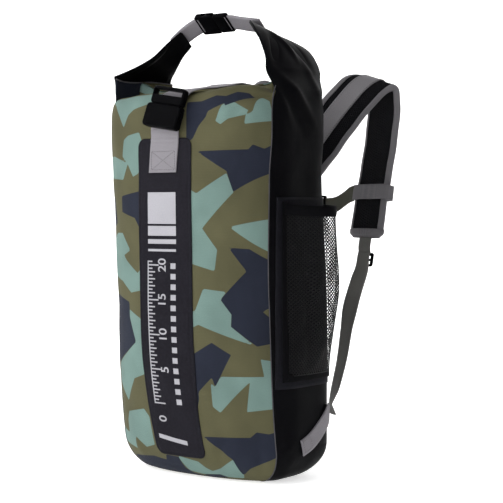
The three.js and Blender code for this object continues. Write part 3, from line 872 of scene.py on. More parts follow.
def patch_print():
    bm = bmesh.new()
    print_bar(bm, -29, 23, 372, 417)
    print_bar(bm, -29, 23, 355, 369)
    print_bar(bm, -29, 23, 343.5, 350)
    print_bar(bm, -29, 23, 332.5, 336)
    # A ruler for measuring a catch: a tick every 5 mm, longer at 10 and 50, and numbers each 50.
    for k in range(42):
        z = 112 + 5 * k
        reach = 20 if k % 10 == 0 else 13 if k % 2 == 0 else 8
        print_bar(bm, -29, -29 + reach, z, z + 2.0)
    print_bar(bm, -30.5, -28.5, 112, 319)
    for k in range(4):
        ruler_number(bm, 5 * (k + 1), -2, 163 + 50 * k, 20)
    for k in range(14):
        print_bar(bm, 13, 22, 113 + 15 * k, 121 + 15 * k)
    ruler_number(bm, 0, -18, 90, 20)
    print_bar(bm, -33, 20, 60, 66.5, slant=0.13)
    return settle(add_object("patch_print", bm, SILVER), "bag", "patch_fabric")


patch_print()


# ------------------------------------------------------------------ stitches
def stitch_row(bm, place, start, end, pitch=3.2, length=2.3, thick=0.55):
    """Sewn thread from start to end: one rounded grain for each stitch, lying on place(a, b)."""
    reach = place(*end) - place(*start)
    count = max(int(reach.length / pitch), 1)
    for k in range(count):
        t = (k + 0.5) / count
        here = place(lerp(start[0], end[0], t), lerp(start[1], end[1], t))
        ahead = place(lerp(start[0], end[0], t + 0.01), lerp(start[1], end[1], t + 0.01))
        turn = (ahead - here).to_track_quat("X", "Z").to_matrix().to_4x4()
        scale = Matrix.Diagonal((length / 2 * MM, thick * MM, thick * MM, 1))
        placed = Matrix.Translation(here * MM) @ turn @ scale
        bmesh.ops.create_icosphere(bm, subdivisions=1, radius=1, matrix=placed)


def stitched_box(bm, place, x0, x1, z0, z1, crossed=True):
    """A box of stitches with its two diagonals."""
    corners = [(x0, z0), (x1, z0), (x1, z1), (x0, z1)]
    for a, b in zip(corners, corners[1:] + corners[:1]):
        stitch_row(bm, place, a, b)
    if crossed:
        stitch_row(bm, place, (x0, z0), (x1, z1))
        stitch_row(bm, place, (x0, z1), (x1, z0))


def sewn(name, body, slot, material, rows):
    """One piece that holds all the stitches that rows(bm) sews."""
    bm = bmesh.new()
    rows(bm)
    return settle(add_object(name, bm, material), body, slot)


# ------------------------------------------------------------------ straps along a curve
class Path:
    """A centripetal curve through stops of x, y, z and a width direction, read by its length."""

    SAMPLES = 40

    def __init__(self, stops, mirror=False):
        flip = -1 if mirror else 1
        self.points = self.curve([Vector((s[0] * flip, s[1], s[2])) for s in stops])
        self.widths = self.curve([Vector((s[3] * flip, s[4], s[5])) for s in stops])
        self.side = flip
        self.lengths = [0.0]
        for a, b in zip(self.points, self.points[1:]):
            self.lengths.append(self.lengths[-1] + (b - a).length)
        self.length = self.lengths[-1]

    def curve(self, stops):
        padded = [2 * stops[0] - stops[1], *stops, 2 * stops[-1] - stops[-2]]
        made = []
        for i in range(len(stops) - 1):
            p = padded[i : i + 4]
            knots = [0.0]
            for a, b in zip(p, p[1:]):
                knots.append(knots[-1] + max((b - a).length, 1e-4) ** 0.5)
            for k in range(self.SAMPLES):
                made.append(self.between(p, knots, lerp(knots[1], knots[2], k / self.SAMPLES)))
        return [*made, stops[-1].copy()]

    @staticmethod
    def between(p, knots, t):
        def mix(a, b, i, j):
            return a.lerp(b, (t - knots[i]) / (knots[j] - knots[i]))

        low = [mix(p[i], p[i + 1], i, i + 1) for i in range(3)]
        middle = [mix(low[i], low[i + 1], i, i + 2) for i in range(2)]
        return mix(middle[0], middle[1], 1, 2)

    def at(self, t):
        """The point, the direction, the width's direction and the face's normal at t from 0 to 1."""
        want = clamp(t) * self.length
        low, high = 0, len(self.lengths) - 1
        while high - low > 1:
            mid = (low + high) // 2
            if self.lengths[mid] <= want:
                low = mid
            else:
                high = mid
        f = (want - self.lengths[low]) / max(self.lengths[high] - self.lengths[low], 1e-6)
        point = self.points[low].lerp(self.points[high], f) + (t - clamp(t)) * self.length * (
            self.points[high] - self.points[low]
        ).normalized()
        back, ahead = max(low - 3, 0), min(high + 3, len(self.points) - 1)
        forward = (self.points[ahead] - self.points[back]).normalized()
        across = self.widths[low].lerp(self.widths[high], f).normalized()
        normal = forward.cross(across).normalized() * self.side
        return point, forward, across, normal


def band(
    name, path, width, material, lift=0.0, thickness=1.6, span=(0.0, 1.0), rows=60, columns=6, shift=0.0
):
    """Flat webbing along a path. lift is how far it stands off the path, and shift how far sideways."""

    def surface(u, v):
        t = lerp(span[0], span[1], v)
        point, forward, across, normal = path.at(t)
        s = (2 * u - 1) * path.side
        stand = lift + thickness / 2
        return point + across * (s * width / 2 + shift) + normal * stand

    length = path.length * (span[1] - span[0]) * MM
    bm_piece = sheet(name, (columns, rows), surface, material, size=(width * MM, length))
    mesh = bm_piece.data
    wall = bmesh.new()
    wall.from_mesh(mesh)
    wall.normal_update()
    middle = wall.verts[:]
    outward = sum((vert.normal.dot(path.at(0.5)[3]) for vert in middle[len(middle) // 2 :][:5]), 0.0)
    if outward < 0:
        bmesh.ops.reverse_faces(wall, faces=wall.faces)
    wall.to_mesh(mesh)
    wall.free()
    solid = bm_piece.modifiers.new("thickness", "SOLIDIFY")
    solid.thickness = thickness * MM
    solid.offset = -1
    return bm_piece


# ------------------------------------------------------------------ front strap
def on_webbing(x, z, lift=0.0):
    return on_patch(x, z, 2.2 + lift)


def front_webbing_surface(u, v):
    z = lerp(445, 512, v)
    x = lerp(-25, 25, u) + lerp(0, 6, v)
    point = on_webbing(x, z)
    # It leaves the patch near its top and reaches out to the buckle's lower bar.
    reach = smooth((z - 484) / 28)
    point.y -= 3.5 * reach
    return point


front_webbing = sheet(
    "front_webbing_band",
    (20, 40),
    front_webbing_surface,
    GREY_WEBBING,
    thickness=1.8,
    size=(0.05, 0.067),
)
settle(front_webbing, "bag", "grey_webbing", "front_webbing")
sewn(
    "front_webbing_stitches",
    "bag",
    "grey_webbing",
    PALE_THREAD,
    lambda bm: stitched_box(bm, lambda x, z: on_webbing(x + 1.5, z, 0.25), -21, 21, 449, 475),
)
OVER_THE_TOP = (
    (7, -119, 506),
    (10, -118.5, 524),
    (14, -115.5, 542),
    (18, -104.5, 557),
    (24, -88, 563),
    (30, -62, 566.5),
    (31, -25, 572),
    (27, 0, 577),
    (20, 25, 578),
    (10, 60, 577),
    (3, 84, 570),
    (0, 98, 551),
    (0, 102, 528),
    (0, 102, 470),
)
top_path = Path([(*stop, -1, 0, 0) for stop in OVER_THE_TOP])
front_strap = band("front_strap_band", top_path, 50, GREY_WEBBING, rows=110, columns=10)
settle(front_strap, "bag", "grey_webbing", "front_strap")
sewn(
    "strap_foot_stitches",
    "bag",
    "grey_webbing",
    PALE_THREAD,
    lambda bm: stitched_box(bm, lambda x, z: Vector((x, 104.4, z)), -21, 21, 474, 500),
)


# ------------------------------------------------------------------ buckles and locks
def refine(node, name, edge=0.7, material=ACETAL, slot="buckle_plastic"):
    """The CAD piece with its flat faces made whole and its edges moulded round."""
    source = NODES[node]
    bm = bmesh.new()
    bm.from_mesh(source.data)
    bmesh.ops.remove_doubles(bm, verts=bm.verts, dist=2e-5)
    bmesh.ops.dissolve_limit(bm, angle_limit=math.radians(3), verts=bm.verts, edges=bm.edges)
    piece = add_object(name, bm, material, smooth_faces=False)
    rounding = piece.modifiers.new("moulded_edges", "BEVEL")
    rounding.width = edge * MM
    rounding.segments = 3
    rounding.limit_method = "ANGLE"
    rounding.angle_limit = math.radians(35)
    rounding.harden_normals = False
    piece.data.shade_smooth()
    return settle(piece, source["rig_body"], slot, node)


for node in NODES:
    if "socket" in node or "plug" in node:
        refine(node, node + "_moulding", edge=0.9 if "front" in node else 0.6)
    elif "prong" in node:
        refine(node, node + "_moulding", edge=0.5)
    elif "ladder_lock" in node:
        refine(node, node + "_moulding", edge=0.8)


# ------------------------------------------------------------------ rolled mouth and hem bands
ROLL_Z = 556
ROLL_HALF = Vector((9, 18))


def roll_surface(u, v):
    """The hem wound round its stiffener: a flattened spiral, its ends drawn up to the horns."""
    angle = math.radians(lerp(0, 810, v))
    shrink = 2.6 * angle / (2 * math.pi)
    x = lerp(-132, 138, u)
    end = smooth((abs(x) - 96) / 42)
    forward = -14 * smooth((-x - 90) / 50)
    y = (ROLL_HALF.x - shrink) * math.sin(angle) + forward + 6 * end
    z = ROLL_Z + 16 * end + (ROLL_HALF.y - shrink) * math.cos(angle)
    return Vector((x, y, z))


roll = sheet(
    "rolled_mouth_cloth",
    (60, 90),
    roll_surface,
    CAMO,
    thickness=1.1,
    size=(0.27, 0.24),
    paint={
        "sage": lambda u, v: in_sage((u - 0.5) * 240, 430 + 60 * math.sin(7 * v)),
        "navy": lambda u, v: in_navy((u - 0.5) * 240, 300 + 60 * math.sin(5 * v)),
    },
)
settle(roll, "bag", "camo_fabric", "rolled_mouth")


def hem_surface(side):
    """The camouflage hem at a horn's foot, on the horn's inner face."""

    def place(u, v):
        s = lerp(1.0, -0.8, u) if side > 0 else lerp(-1.0, 1.0, u)
        t = lerp(-0.2, -0.02, v) + 0.01 * math.sin(3 * s)
        return horn_point(side, s * 0.99, max(t, 0)) + Vector((-side * 5.4, 0, min(t, 0) * 190))

    return place


for word, side in (("left", -1), ("right", 1)):
    hem = sheet(
        word + "_hem_band",
        (50, 12),
        hem_surface(side),
        CAMO,
        thickness=1.0,
        size=(0.13, 0.03),
        paint={
            "navy": lambda u, v: (0.5 - u) * 60 + 5 * v,
            "sage": lambda u, v: -5.0,
        },
    )
    settle(hem, "carry_loop", "camo_fabric")
    welt = sheet(
        word + "_hem_welt",
        (50, 2),
        lambda u, v, side=side: hem_surface(side)(u, 0.97 + 0.06 * v) - Vector((side * 0.5, 0, 0)),
        BINDING_TAPE,
        thickness=0.8,
        size=(0.13, 0.002),
    )
    settle(welt, "carry_loop", "coated_fabric")


# ------------------------------------------------------------------ carry loop webbing
lean = math.radians(LOOP_LEAN)
LOOP_ACROSS = (0, math.cos(lean), -math.sin(lean))
LEFT_LOOP = ((-84, 642), (-66, 654.5), (-50, 663), (-36, 668.5), (-28, 669.7))
RIGHT_LOOP = ((19, 669.5), (34, 668.5), (50, 665), (68, 662), (84, 659.5))


def loop_band(name, stops):
    path = Path([(x, LOOP_Y, z, *LOOP_ACROSS) for x, z in stops])
    return band(name, path, 27, GREY_WEBBING, thickness=2.6, rows=30)


settle(loop_band("left_loop_band", LEFT_LOOP), "carry_loop", "grey_webbing", "left_loop_webbing")
right_band = loop_band("right_loop_band", RIGHT_LOOP)
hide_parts("right_loop_webbing")
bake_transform(right_band)


# ------------------------------------------------------------------ side pockets
POCKET_FRONT = -31
POCKET_REAR = 84
POCKET_BOTTOM = 156
POCKET_TOP = 386
POCKET_HEM = 14
POCKET_BULGE = 38


def pocket_bulge(y, z):
    across = clamp((y - POCKET_FRONT) / (POCKET_REAR - POCKET_FRONT))
    up = clamp((z - POCKET_BOTTOM) / (POCKET_TOP - POCKET_BOTTOM))
    return POCKET_BULGE * math.sin(math.pi * across**1.25) * spline((0.12, 0.62, 0.95, 1.0, 0.9), up)


POCKET_FOLDS = (
    ((-10, 370), (6, 170), 7, -4.0),
    ((18, 376), (4, 260), 8, 3.0),
    ((30, 300), (-14, 200), 9, -3.0),
    ((52, 376), (40, 220), 9, -3.5),
    ((66, 330), (20, 160), 9, 3.0),
)


def on_pocket(side, y, z, lift):
    point = on_side(y, z, side)
    edge = min((y - POCKET_FRONT) / 12, (POCKET_REAR - y) / 12, (z - POCKET_BOTTOM) / 14)
    folds = sum(crease(y, z, *fold) for fold in POCKET_FOLDS) * smooth(edge)
    bulge = pocket_bulge(y, z)
    return point + Vector((side * (bulge + lift + max(folds, -bulge)), 0, 0))


def pocket_net(word, side):
    """Knitted net: diamonds 5.2 mm wide with flat strands between them."""
    cell = 5.2
    columns = int((POCKET_REAR - POCKET_FRONT) / cell)
    rows = int((POCKET_TOP - POCKET_BOTTOM) / cell)
    bm = bmesh.new()
    uv = bm.loops.layers.uv.new("UVMap")
    bmesh.ops.create_grid(bm, x_segments=columns, y_segments=rows, size=0.5)
    ring = set(bm.edges)
    bmesh.ops.scale(bm, vec=(columns, rows, 1), verts=bm.verts)
    bmesh.ops.poke(bm, faces=bm.faces[:])
    inner = [edge for edge in ring if edge.is_valid and len(edge.link_faces) == 2]
    bmesh.ops.dissolve_edges(bm, edges=inner, use_verts=False)
    opened = bmesh.ops.inset_individual(bm, faces=bm.faces[:], thickness=0.1, use_even_offset=True)
    bmesh.ops.scale(bm, vec=(1 / columns, 1 / rows, 1), verts=bm.verts)
    strands = set(opened["faces"])
    bmesh.ops.delete(bm, geom=[face for face in bm.faces if face not in strands], context="FACES")
    for face in bm.faces:
        for loop in face.loops:
            loop[uv].uv = ((loop.vert.co.x + 0.5) * 0.115, (loop.vert.co.y + 0.5) * 0.232)
    for vert in bm.verts:
        u, v = vert.co.x + 0.5, vert.co.y + 0.5
        y = lerp(POCKET_FRONT, POCKET_REAR, u if side > 0 else 1 - u)
        vert.co = on_pocket(side, y, lerp(POCKET_BOTTOM, POCKET_TOP + 3, v), 3.4) * MM
    bm.normal_update()
    piece = add_object(word + "_pocket_net", bm, NET)
    wall = piece.modifiers.new("strand", "SOLIDIFY")
    wall.thickness = 0.5 * MM
    wall.offset = 0
    return settle(piece, "bag", "mesh_fabric", word + "_pocket_mesh")


def side_columns(side, low, high):
    return (lambda u: lerp(low, high, u)) if side > 0 else (lambda u: lerp(high, low, u))


def add_pocket(word, side):
    pocket_net(word, side)
    wide = side_columns(side, POCKET_FRONT - 2, POCKET_REAR + 1)

    def hem_place(u, v):
        y = wide(u)
        droop = 3 * math.sin(math.pi * clamp((y - POCKET_FRONT) / 118))
        z = lerp(POCKET_TOP - 1, POCKET_TOP + POCKET_HEM, v) - droop
        return on_pocket(side, y, z, 4.6 + 1.2 * math.sin(math.pi * v))

    hem = sheet(word + "_pocket_hem_band", (60, 8), hem_place, TRIM, thickness=2.4, size=(0.13, 0.014))
    settle(hem, "bag", "coated_fabric", word + "_pocket_hem")
    reinforce = side_columns(side, -43, 92)

    def backing_place(u, v):
        y, z = reinforce(u), lerp(138, 410, v)
        return on_side(y, z, side) + Vector((side * 1.6, 0, 0))

    backing = sheet(
        word + "_pocket_backing_cloth", (40, 60), backing_place, BACKING, thickness=1.2, size=(0.13, 0.27)
    )
    settle(backing, "bag", "coated_fabric", word + "_pocket_backing")

    def tape(name, place, counts, size):
        settle(sheet(name, counts, place, TRIM, thickness=1.0, size=size), "bag", "coated_fabric")

    front_tape = side_columns(side, POCKET_FRONT - 4, POCKET_FRONT + 5)
    foot = side_columns(side, POCKET_FRONT - 4, POCKET_REAR + 2)

    def front_place(u, v):
        y = front_tape(u)
        return on_side(y, lerp(150, 403, v), side) + Vector((side * (4.4 + 0.3 * pocket_bulge(y, 300)), 0, 0))

    def foot_place(u, v):
        y = foot(u)
        return on_side(y, lerp(148, 160, v), side) + Vector((side * (4.2 + 0.4 * pocket_bulge(y, 160)), 0, 0))

    tape(word + "_pocket_front_tape", front_place, (4, 50), (0.009, 0.25))
    tape(word + "_pocket_foot_tape", foot_place, (40, 4), (0.12, 0.012))


add_pocket("right", 1)
add_pocket("left", -1)


# ------------------------------------------------------------------ seams
def seam_cord(name, place, count, radius, material, body="bag", slot="coated_fabric"):
    """A thin welded bead along place(t)."""
    bm = bmesh.new()
    uv = bm.loops.layers.uv.new("UVMap")
    bmesh.ops.create_grid(bm, x_segments=6, y_segments=count, size=0.5)
    for vert in bm.verts:
        u, t = vert.co.x + 0.5, vert.co.y + 0.5
        here, ahead = place(t), place(t + 0.004)
        forward = (ahead - here).normalized()
        out = Vector((here.x, here.y, 0)).normalized()
        side = forward.cross(out).normalized()
        out = side.cross(forward)
        angle = -2 * math.pi * u
        vert.co = (here + (side * math.cos(angle) + out * math.sin(angle)) * radius) * MM
    bmesh.ops.remove_doubles(bm, verts=bm.verts, dist=1e-6)
    bmesh.ops.holes_fill(bm, edges=[edge for edge in bm.edges if edge.is_boundary], sides=8)
    bmesh.ops.recalc_face_normals(bm, faces=bm.faces)
    return settle(add_object(name, bm, material), body, slot)


def seam_place(side):
    def place(t):
        along = lerp(BASE_END, along_at(566), t)
        phi = front_seam(skin(0, along).z)
        return skin(phi if side > 0 else 180 - phi, along)

    return place


SEAM_BEAD = coated_nylon("seam_bead", "#4A494C", 0.5)
for word, side in (("left", -1), ("right", 1)):
    seam_cord(word + "_front_seam", seam_place(side), 150, 0.9, SEAM_BEAD)
    seam_cord(
        word + "_back_seam",
        lambda t, side=side: skin(BACK_SEAM if side > 0 else 180 - BACK_SEAM, lerp(BASE_END, along_at(560), t)),
        120,
        0.9,
        TRIM,
    )


# ------------------------------------------------------------------ back panel, yoke and back pads
def on_back(x, z, lift=0.0):
    along = along_at(z)
    phi = math.degrees(math.acos(signed_power(clamp(x / half_width(z), -1, 1), BACK_ROUNDNESS / 2)))
    return skin(phi, along) + Vector((0, lift, 0))


def pillow(name, counts, outer, inner, material, size):
    """A closed pad between outer(u, v) and inner(u, v), which meet at its edges."""
    bm = bmesh.new()
    uv = bm.loops.layers.uv.new("UVMap")
    bmesh.ops.create_grid(bm, x_segments=counts[0], y_segments=counts[1], size=0.5)
    low = bm.verts[:]
    made = bmesh.ops.extrude_face_region(bm, geom=bm.faces[:])
    high = [item for item in made["geom"] if isinstance(item, bmesh.types.BMVert)]
    for face in bm.faces:
        for loop in face.loops:
            loop[uv].uv = ((loop.vert.co.x + 0.5) * size[0], (loop.vert.co.y + 0.5) * size[1])
    for verts, place in ((low, inner), (high, outer)):
        for vert in verts:
            vert.co = place(vert.co.x + 0.5, vert.co.y + 0.5) * MM
    bmesh.ops.recalc_face_normals(bm, faces=bm.faces)
    return add_object(name, bm, material)


def rounded_half(t, half, corner):
    """Half width of a rounded rectangle, t millimetres from its nearer end."""
    if t >= corner:
        return half
    return half - corner + math.sqrt(max(corner**2 - (corner - t) ** 2, 0))


YOKE_LOW, YOKE_HIGH, YOKE_HALF = 392, 456, 106


def yoke_point(lift):
    def place(u, v):
        s = 1 - 2 * u
        z = lerp(YOKE_LOW, YOKE_HIGH, v)
        x = s * rounded_half(min(z - YOKE_LOW, YOKE_HIGH - z), YOKE_HALF, 12)
        edge = smooth(min(YOKE_HALF - abs(x), z - YOKE_LOW, YOKE_HIGH - z) / 5)
        return on_back(x, z, 0.4 + lift * (0.4 + 0.6 * edge))

    return place


yoke = pillow("strap_yoke_cloth", (70, 24), yoke_point(3.4), yoke_point(0), COATED, (0.21, 0.064))
settle(yoke, "bag", "foam_padding", "strap_yoke")


def sew_yoke(bm):
    def place(x, z):
        return on_back(x, z, 4.0)

    for x in (-62, 62):
        stitched_box(bm, place, x - 30, x + 30, 402, 430)
    stitch_row(bm, place, (-100, 450), (100, 450))
    stitch_row(bm, place, (-100, 398), (100, 398))


sewn("yoke_stitches", "bag", "foam_padding", PALE_THREAD, sew_yoke)

PAD_LOW, PAD_HIGH = 110, 384
BACK_CHANNELS = (178, 247, 316)


def back_pad_point(side, full):
    def place(u, v):
        s, t = 1 - 2 * u, 2 * v - 1
        z = lerp(PAD_LOW, PAD_HIGH, v)
        half = rounded_half(min(z - PAD_LOW, PAD_HIGH - z), 42, 18)
        x = side * 50 + half * s
        rise = max(1 - abs(s) ** 5, 0) ** 0.5 * max(1 - abs(t) ** 9, 0) ** 0.5
        channel = sum(math.exp(-(((z - line) / 3.2) ** 2)) for line in BACK_CHANNELS)
        crown = 7.5 + 2.8 * (1 - s * s)
        return on_back(x, z, 0.5 + full * rise * crown * (1 - 0.62 * min(channel, 1)))

    return place


for word, side in (("left", -1), ("right", 1)):
    crowned, flat = back_pad_point(side, 1), back_pad_point(side, 0)
    pad = pillow(word + "_back_cushion", (40, 120), crowned, flat, SPACER_MESH, (0.084, 0.274))
    settle(pad, "bag", "foam_padding", word + "_back_pad")



def board_point(y):
    """The stiff sheet inside the back, whose upper half leans in with the back."""

    def place(u, v):
        z = lerp(60, 520, v)
        return Vector((lerp(96, -96, u), y - 9 * clamp((z - 300) / 150), z))

    return place


board = pillow("back_board_sheet", (30, 60), board_point(92), board_point(88), BOARD, (0.19, 0.46))
settle(board, "bag", "board_plastic", "back_board")


# ------------------------------------------------------------------ shoulder straps
PAD_STOPS = (
    (58, 101, 404, 1, 0, 0),
    (61, 108, 422, 1, 0, -0.1),
    (66, 126, 446, 0.95, 0.1, -0.2),
    (78, 160, 492, 0.8, 0.35, -0.45),
    (97, 205, 550, 0.74, 0.43, -0.5),
    (112, 245, 587, 0.8, 0.35, -0.42),
    (119, 271, 592, 0.93, 0.05, -0.25),
    (119.5, 287, 566, 0.97, -0.2, -0.1),
    (114.5, 291, 520, 0.97, -0.22, 0),
    (109, 284, 460, 0.97, -0.22, 0),
    (105, 271, 400, 0.97, -0.22, 0),
    (105, 259, 350, 0.97, -0.2, 0),
)
PAD_HALF = 34.5
PAD_THICK = 5.5


def pad_thickness(x):
    return PAD_THICK * max(1 - abs(x / PAD_HALF) ** 3.2, 0) ** 0.5


def pad_end(t, length):
    """How much the pad's section shrinks as its end rounds off."""
    left = (1 - t) * length
    return math.sqrt(max(1 - (1 - clamp(left / 7)) ** 2, 0))


def add_shoulder_strap(word, side):
    body = word + "_strap"
    path = Path(PAD_STOPS, mirror=side < 0)

    def pad_place(u, v):
        point, forward, across, normal = path.at(v)
        angle = 2 * math.pi * u * path.side
        x = PAD_HALF * signed_power(math.cos(angle), 0.7)
        end = pad_end(v, path.length)
        x *= 0.8 + 0.2 * end
        stand = signed_power(math.sin(angle), 0.6) * (pad_thickness(x) + 0.3) * (0.2 + 0.8 * end)
        # The foam swells a little between the webbing and the bound edges.
        stand += 0.7 * math.copysign(1, math.sin(angle)) * math.exp(-(((abs(x) - 23) / 5) ** 2)) * end
        stand += 0.35 * noise.noise(Vector((x / 18, v * 14, side * 3.0 + math.copysign(1, stand))))
        return point + across * x + normal * stand

    bm = bmesh.new()
    uv = bm.loops.layers.uv.new("UVMap")
    bmesh.ops.create_grid(bm, x_segments=48, y_segments=140, size=0.5)
    for face in bm.faces:
        for loop in face.loops:
            loop[uv].uv = ((loop.vert.co.x + 0.5) * 0.16, (loop.vert.co.y + 0.5) * path.length * MM)
    for vert in bm.verts:
        vert.co = pad_place(vert.co.x + 0.5, vert.co.y + 0.5) * MM
    bmesh.ops.remove_doubles(bm, verts=bm.verts, dist=1e-5)
    bmesh.ops.holes_fill(bm, edges=[edge for edge in bm.edges if edge.is_boundary], sides=0)
    bmesh.ops.recalc_face_normals(bm, faces=bm.faces)
    pad = add_object(word + "_shoulder_cushion", bm, SPACER_MESH)
    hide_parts(word + "_shoulder_pad")
    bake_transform(pad)

    def bound(name, place, counts, size):
        """Binding tape folded over an edge of the pad."""
        tape = sheet(name, counts, place, BINDING_TAPE, size=size)
        shell = bmesh.new()
        shell.from_mesh(tape.data)
        centre = path.at(0.5)[0] * MM
        bmesh.ops.recalc_face_normals(shell, faces=shell.faces)
        test = min(shell.faces, key=lambda face: (face.calc_center_median() - centre).length)
        spot = test.calc_center_median() - centre
        if test.normal.dot(spot) < 0:
            bmesh.ops.reverse_faces(shell, faces=shell.faces)
        shell.to_mesh(tape.data)
        shell.free()
        wall = tape.modifiers.new("thickness", "SOLIDIFY")
        wall.thickness = 0.9 * MM
        wall.offset = -1
        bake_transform(tape)
        return tape

    for edge_word, edge in (("inner", -1), ("outer", 1)):

        def edge_place(u, v, edge=edge):
            point, forward, across, normal = path.at(v * 0.985)
            k = (2 * u - 1) * path.side * edge
            x = edge * (PAD_HALF + 0.8 - 8.0 * abs(k) ** 1.6)
            lift = (pad_thickness(min(abs(x), PAD_HALF - 0.5)) + 1.5) * (1 - (1 - min(abs(k) * 2.2, 1)) ** 2)
            wave = 0.4 * math.sin(v * 60 + edge)
            return point + across * (x + wave * edge) + normal * math.copysign(lift, k)

        bound(word + "_" + edge_word + "_binding", edge_place, (14, 150), (0.03, path.length * MM))

    def end_place(u, v):
        point, forward, across, normal = path.at(lerp(0.978, 1.003, v))
        angle = 2 * math.pi * u * path.side
        x = (PAD_HALF + 1.2) * signed_power(math.cos(angle), 0.6) * (1 - 0.22 * smooth((v - 0.4) / 0.6))
        stand = signed_power(math.sin(angle), 0.6) * (pad_thickness(x * 0.94) + 1.9)
        stand *= 1 - 0.5 * smooth((v - 0.6) / 0.4)
        return point + across * x + normal * stand

    bound(word + "_end_binding", end_place, (48, 8), (0.16, 0.014))

    stripe = band(
        word + "_strap_band",
        path,
        27,
        STRAP_WEBBING,
        lift=-(PAD_THICK + 1.5),
        thickness=1.5,
        span=(0.02, 0.965),
        rows=140,
        columns=10,
        shift=-5 * side,
    )
    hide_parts(word + "_strap_webbing")
    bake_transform(stripe)

    def sew_strap(bm):
        for x in (-5 * side - 11.5, -5 * side + 11.5):
            for k in range(22):
                a, b = 0.06 + 0.041 * k, 0.06 + 0.041 * (k + 1)

                def place(t, across_at):
                    point, forward, across, normal = path.at(t)
                    return point + across * across_at - normal * (PAD_THICK + 2.35)

                stitch_row(bm, place, (a, x), (b, x), pitch=3.6)

    bm = bmesh.new()
    sew_strap(bm)
    thread = add_object(word + "_strap_stitches", bm, DARK_THREAD)
    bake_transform(thread)

    # Webbing from the pad's end round the ladder lock, and from the lock down to the bag.
    lock_stops = ((105, 261, 358), (106.5, 254, 346), (109, 247, 334), (110.5, 245.5, 323))
    lock_path = Path([(*stop, 0.97, -0.2, 0) for stop in lock_stops], mirror=side < 0)
    lock_band = band(word + "_lock_band", lock_path, 25, LOWER_WEBBING, rows=30)
    settle(lock_band, body, "dark_webbing", word + "_lock_webbing")
    tail_stops = (
        (109.5, 245.5, 326, 0.97, -0.2, 0),
        (109, 243, 314, 0.97, -0.15, 0),
        (108, 241.5, 301, 0.97, 0.0, 0),
        (104, 239.5, 286, 0.9, 0.35, 0),
        (100, 233, 264, 0.82, 0.55, 0),
        (98, 225, 242, 0.88, 0.4, 0),
        (99, 212, 208, 0.97, -0.15, 0),
        (104.5, 190, 160, 0.94, -0.31, 0.05),
        (114, 157, 118, 0.88, -0.42, 0.15),
        (122, 137, 104, 0.75, -0.5, 0.4),
        (134, 116, 96, 0.5, -0.45, 0.7),
        (148, 99, 96, 0.2, -0.6, 0.75),
        (157, 88, 98, 0.05, -0.6, 0.78),
    )
    tail = band(word + "_lower_band", Path(tail_stops, mirror=side < 0), 24, LOWER_WEBBING, rows=130)
    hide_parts(word + "_lower_webbing")
    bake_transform(tail)


add_shoulder_strap("right", 1)
add_shoulder_strap("left", -1)


# ------------------------------------------------------------------ anchor tabs
TAB_LINE = ((6, 50), (30, 59), (58, 77), (86, 103))


def tab_point(side, along, across, lift):
    y, z = (spline([stop[k] for stop in TAB_LINE], along) for k in range(2))
    ay, az = (spline([stop[k] for stop in TAB_LINE], along + 0.02) for k in range(2))
    slope = math.atan2(az - z, ay - y)
    spot = on_side(y - across * math.sin(slope), z + across * math.cos(slope), side)
    return spot + Vector((side * lift, 0, 0))


def add_tab(word, side):
    def place(u, v):
        along = u if side > 0 else 1 - u
        return tab_point(side, along * 0.96, lerp(-12.5, 12.5, v), 2.6 + 2.5 * smooth((along - 0.6) / 0.4))

    def on_tab(along, across):
        return tab_point(side, along, across, 2.9)

    tab = sheet(word + "_anchor_tab_band", (40, 8), place, GREY_WEBBING, thickness=1.8, size=(0.09, 0.025))
    settle(tab, "bag", "grey_webbing", word + "_anchor_tab")
    sewn(
        word + "_anchor_tab_stitches",
        "bag",
        "grey_webbing",
        PALE_THREAD,
        lambda bm: stitched_box(bm, on_tab, 0.05, 0.3, -9, 9, crossed=False),
    )


add_tab("left", -1)
add_tab("right", 1)


# ------------------------------------------------------------------ sternum strap
SLIDER_AT = Vector((107.4, 275.1, 419))
SLIDER_DOWN = Vector((0, -0.21, -0.98)).normalized()


def add_slider(word, side):
    across = Vector((side * 0.97, -0.22, 0)).normalized()
    normal = SLIDER_DOWN.cross(across).normalized() * side
    centre = Vector((side * SLIDER_AT.x, SLIDER_AT.y, SLIDER_AT.z))

    def place(u, v):
        angle = -2 * math.pi * u * side
        x = 39.6 * signed_power(math.cos(angle), 0.34)
        stand = 10.6 * signed_power(math.sin(angle), 0.42)
        wave = 0.5 * math.sin(3 * angle + 1)
        return centre + across * x + normal * stand + SLIDER_DOWN * ((0.5 - v) * 24 + wave)

    ring = sheet(word + "_slider_band", (96, 10), place, BINDING_TAPE, size=(0.2, 0.024))
    bm = bmesh.new()
    bm.from_mesh(ring.data)
    bmesh.ops.remove_doubles(bm, verts=bm.verts, dist=1e-5)
    bmesh.ops.recalc_face_normals(bm, faces=bm.faces)
    face = bm.faces[0]
    if face.normal.dot(face.calc_center_median() - centre * MM) < 0:
        bmesh.ops.reverse_faces(bm, faces=bm.faces)
    bm.to_mesh(ring.data)
    bm.free()
    wall = ring.modifiers.new("thickness", "SOLIDIFY")
    wall.thickness = 1.5 * MM
    wall.offset = -1
    settle(ring, word + "_slider", "dark_webbing", word + "_sternum_slider")


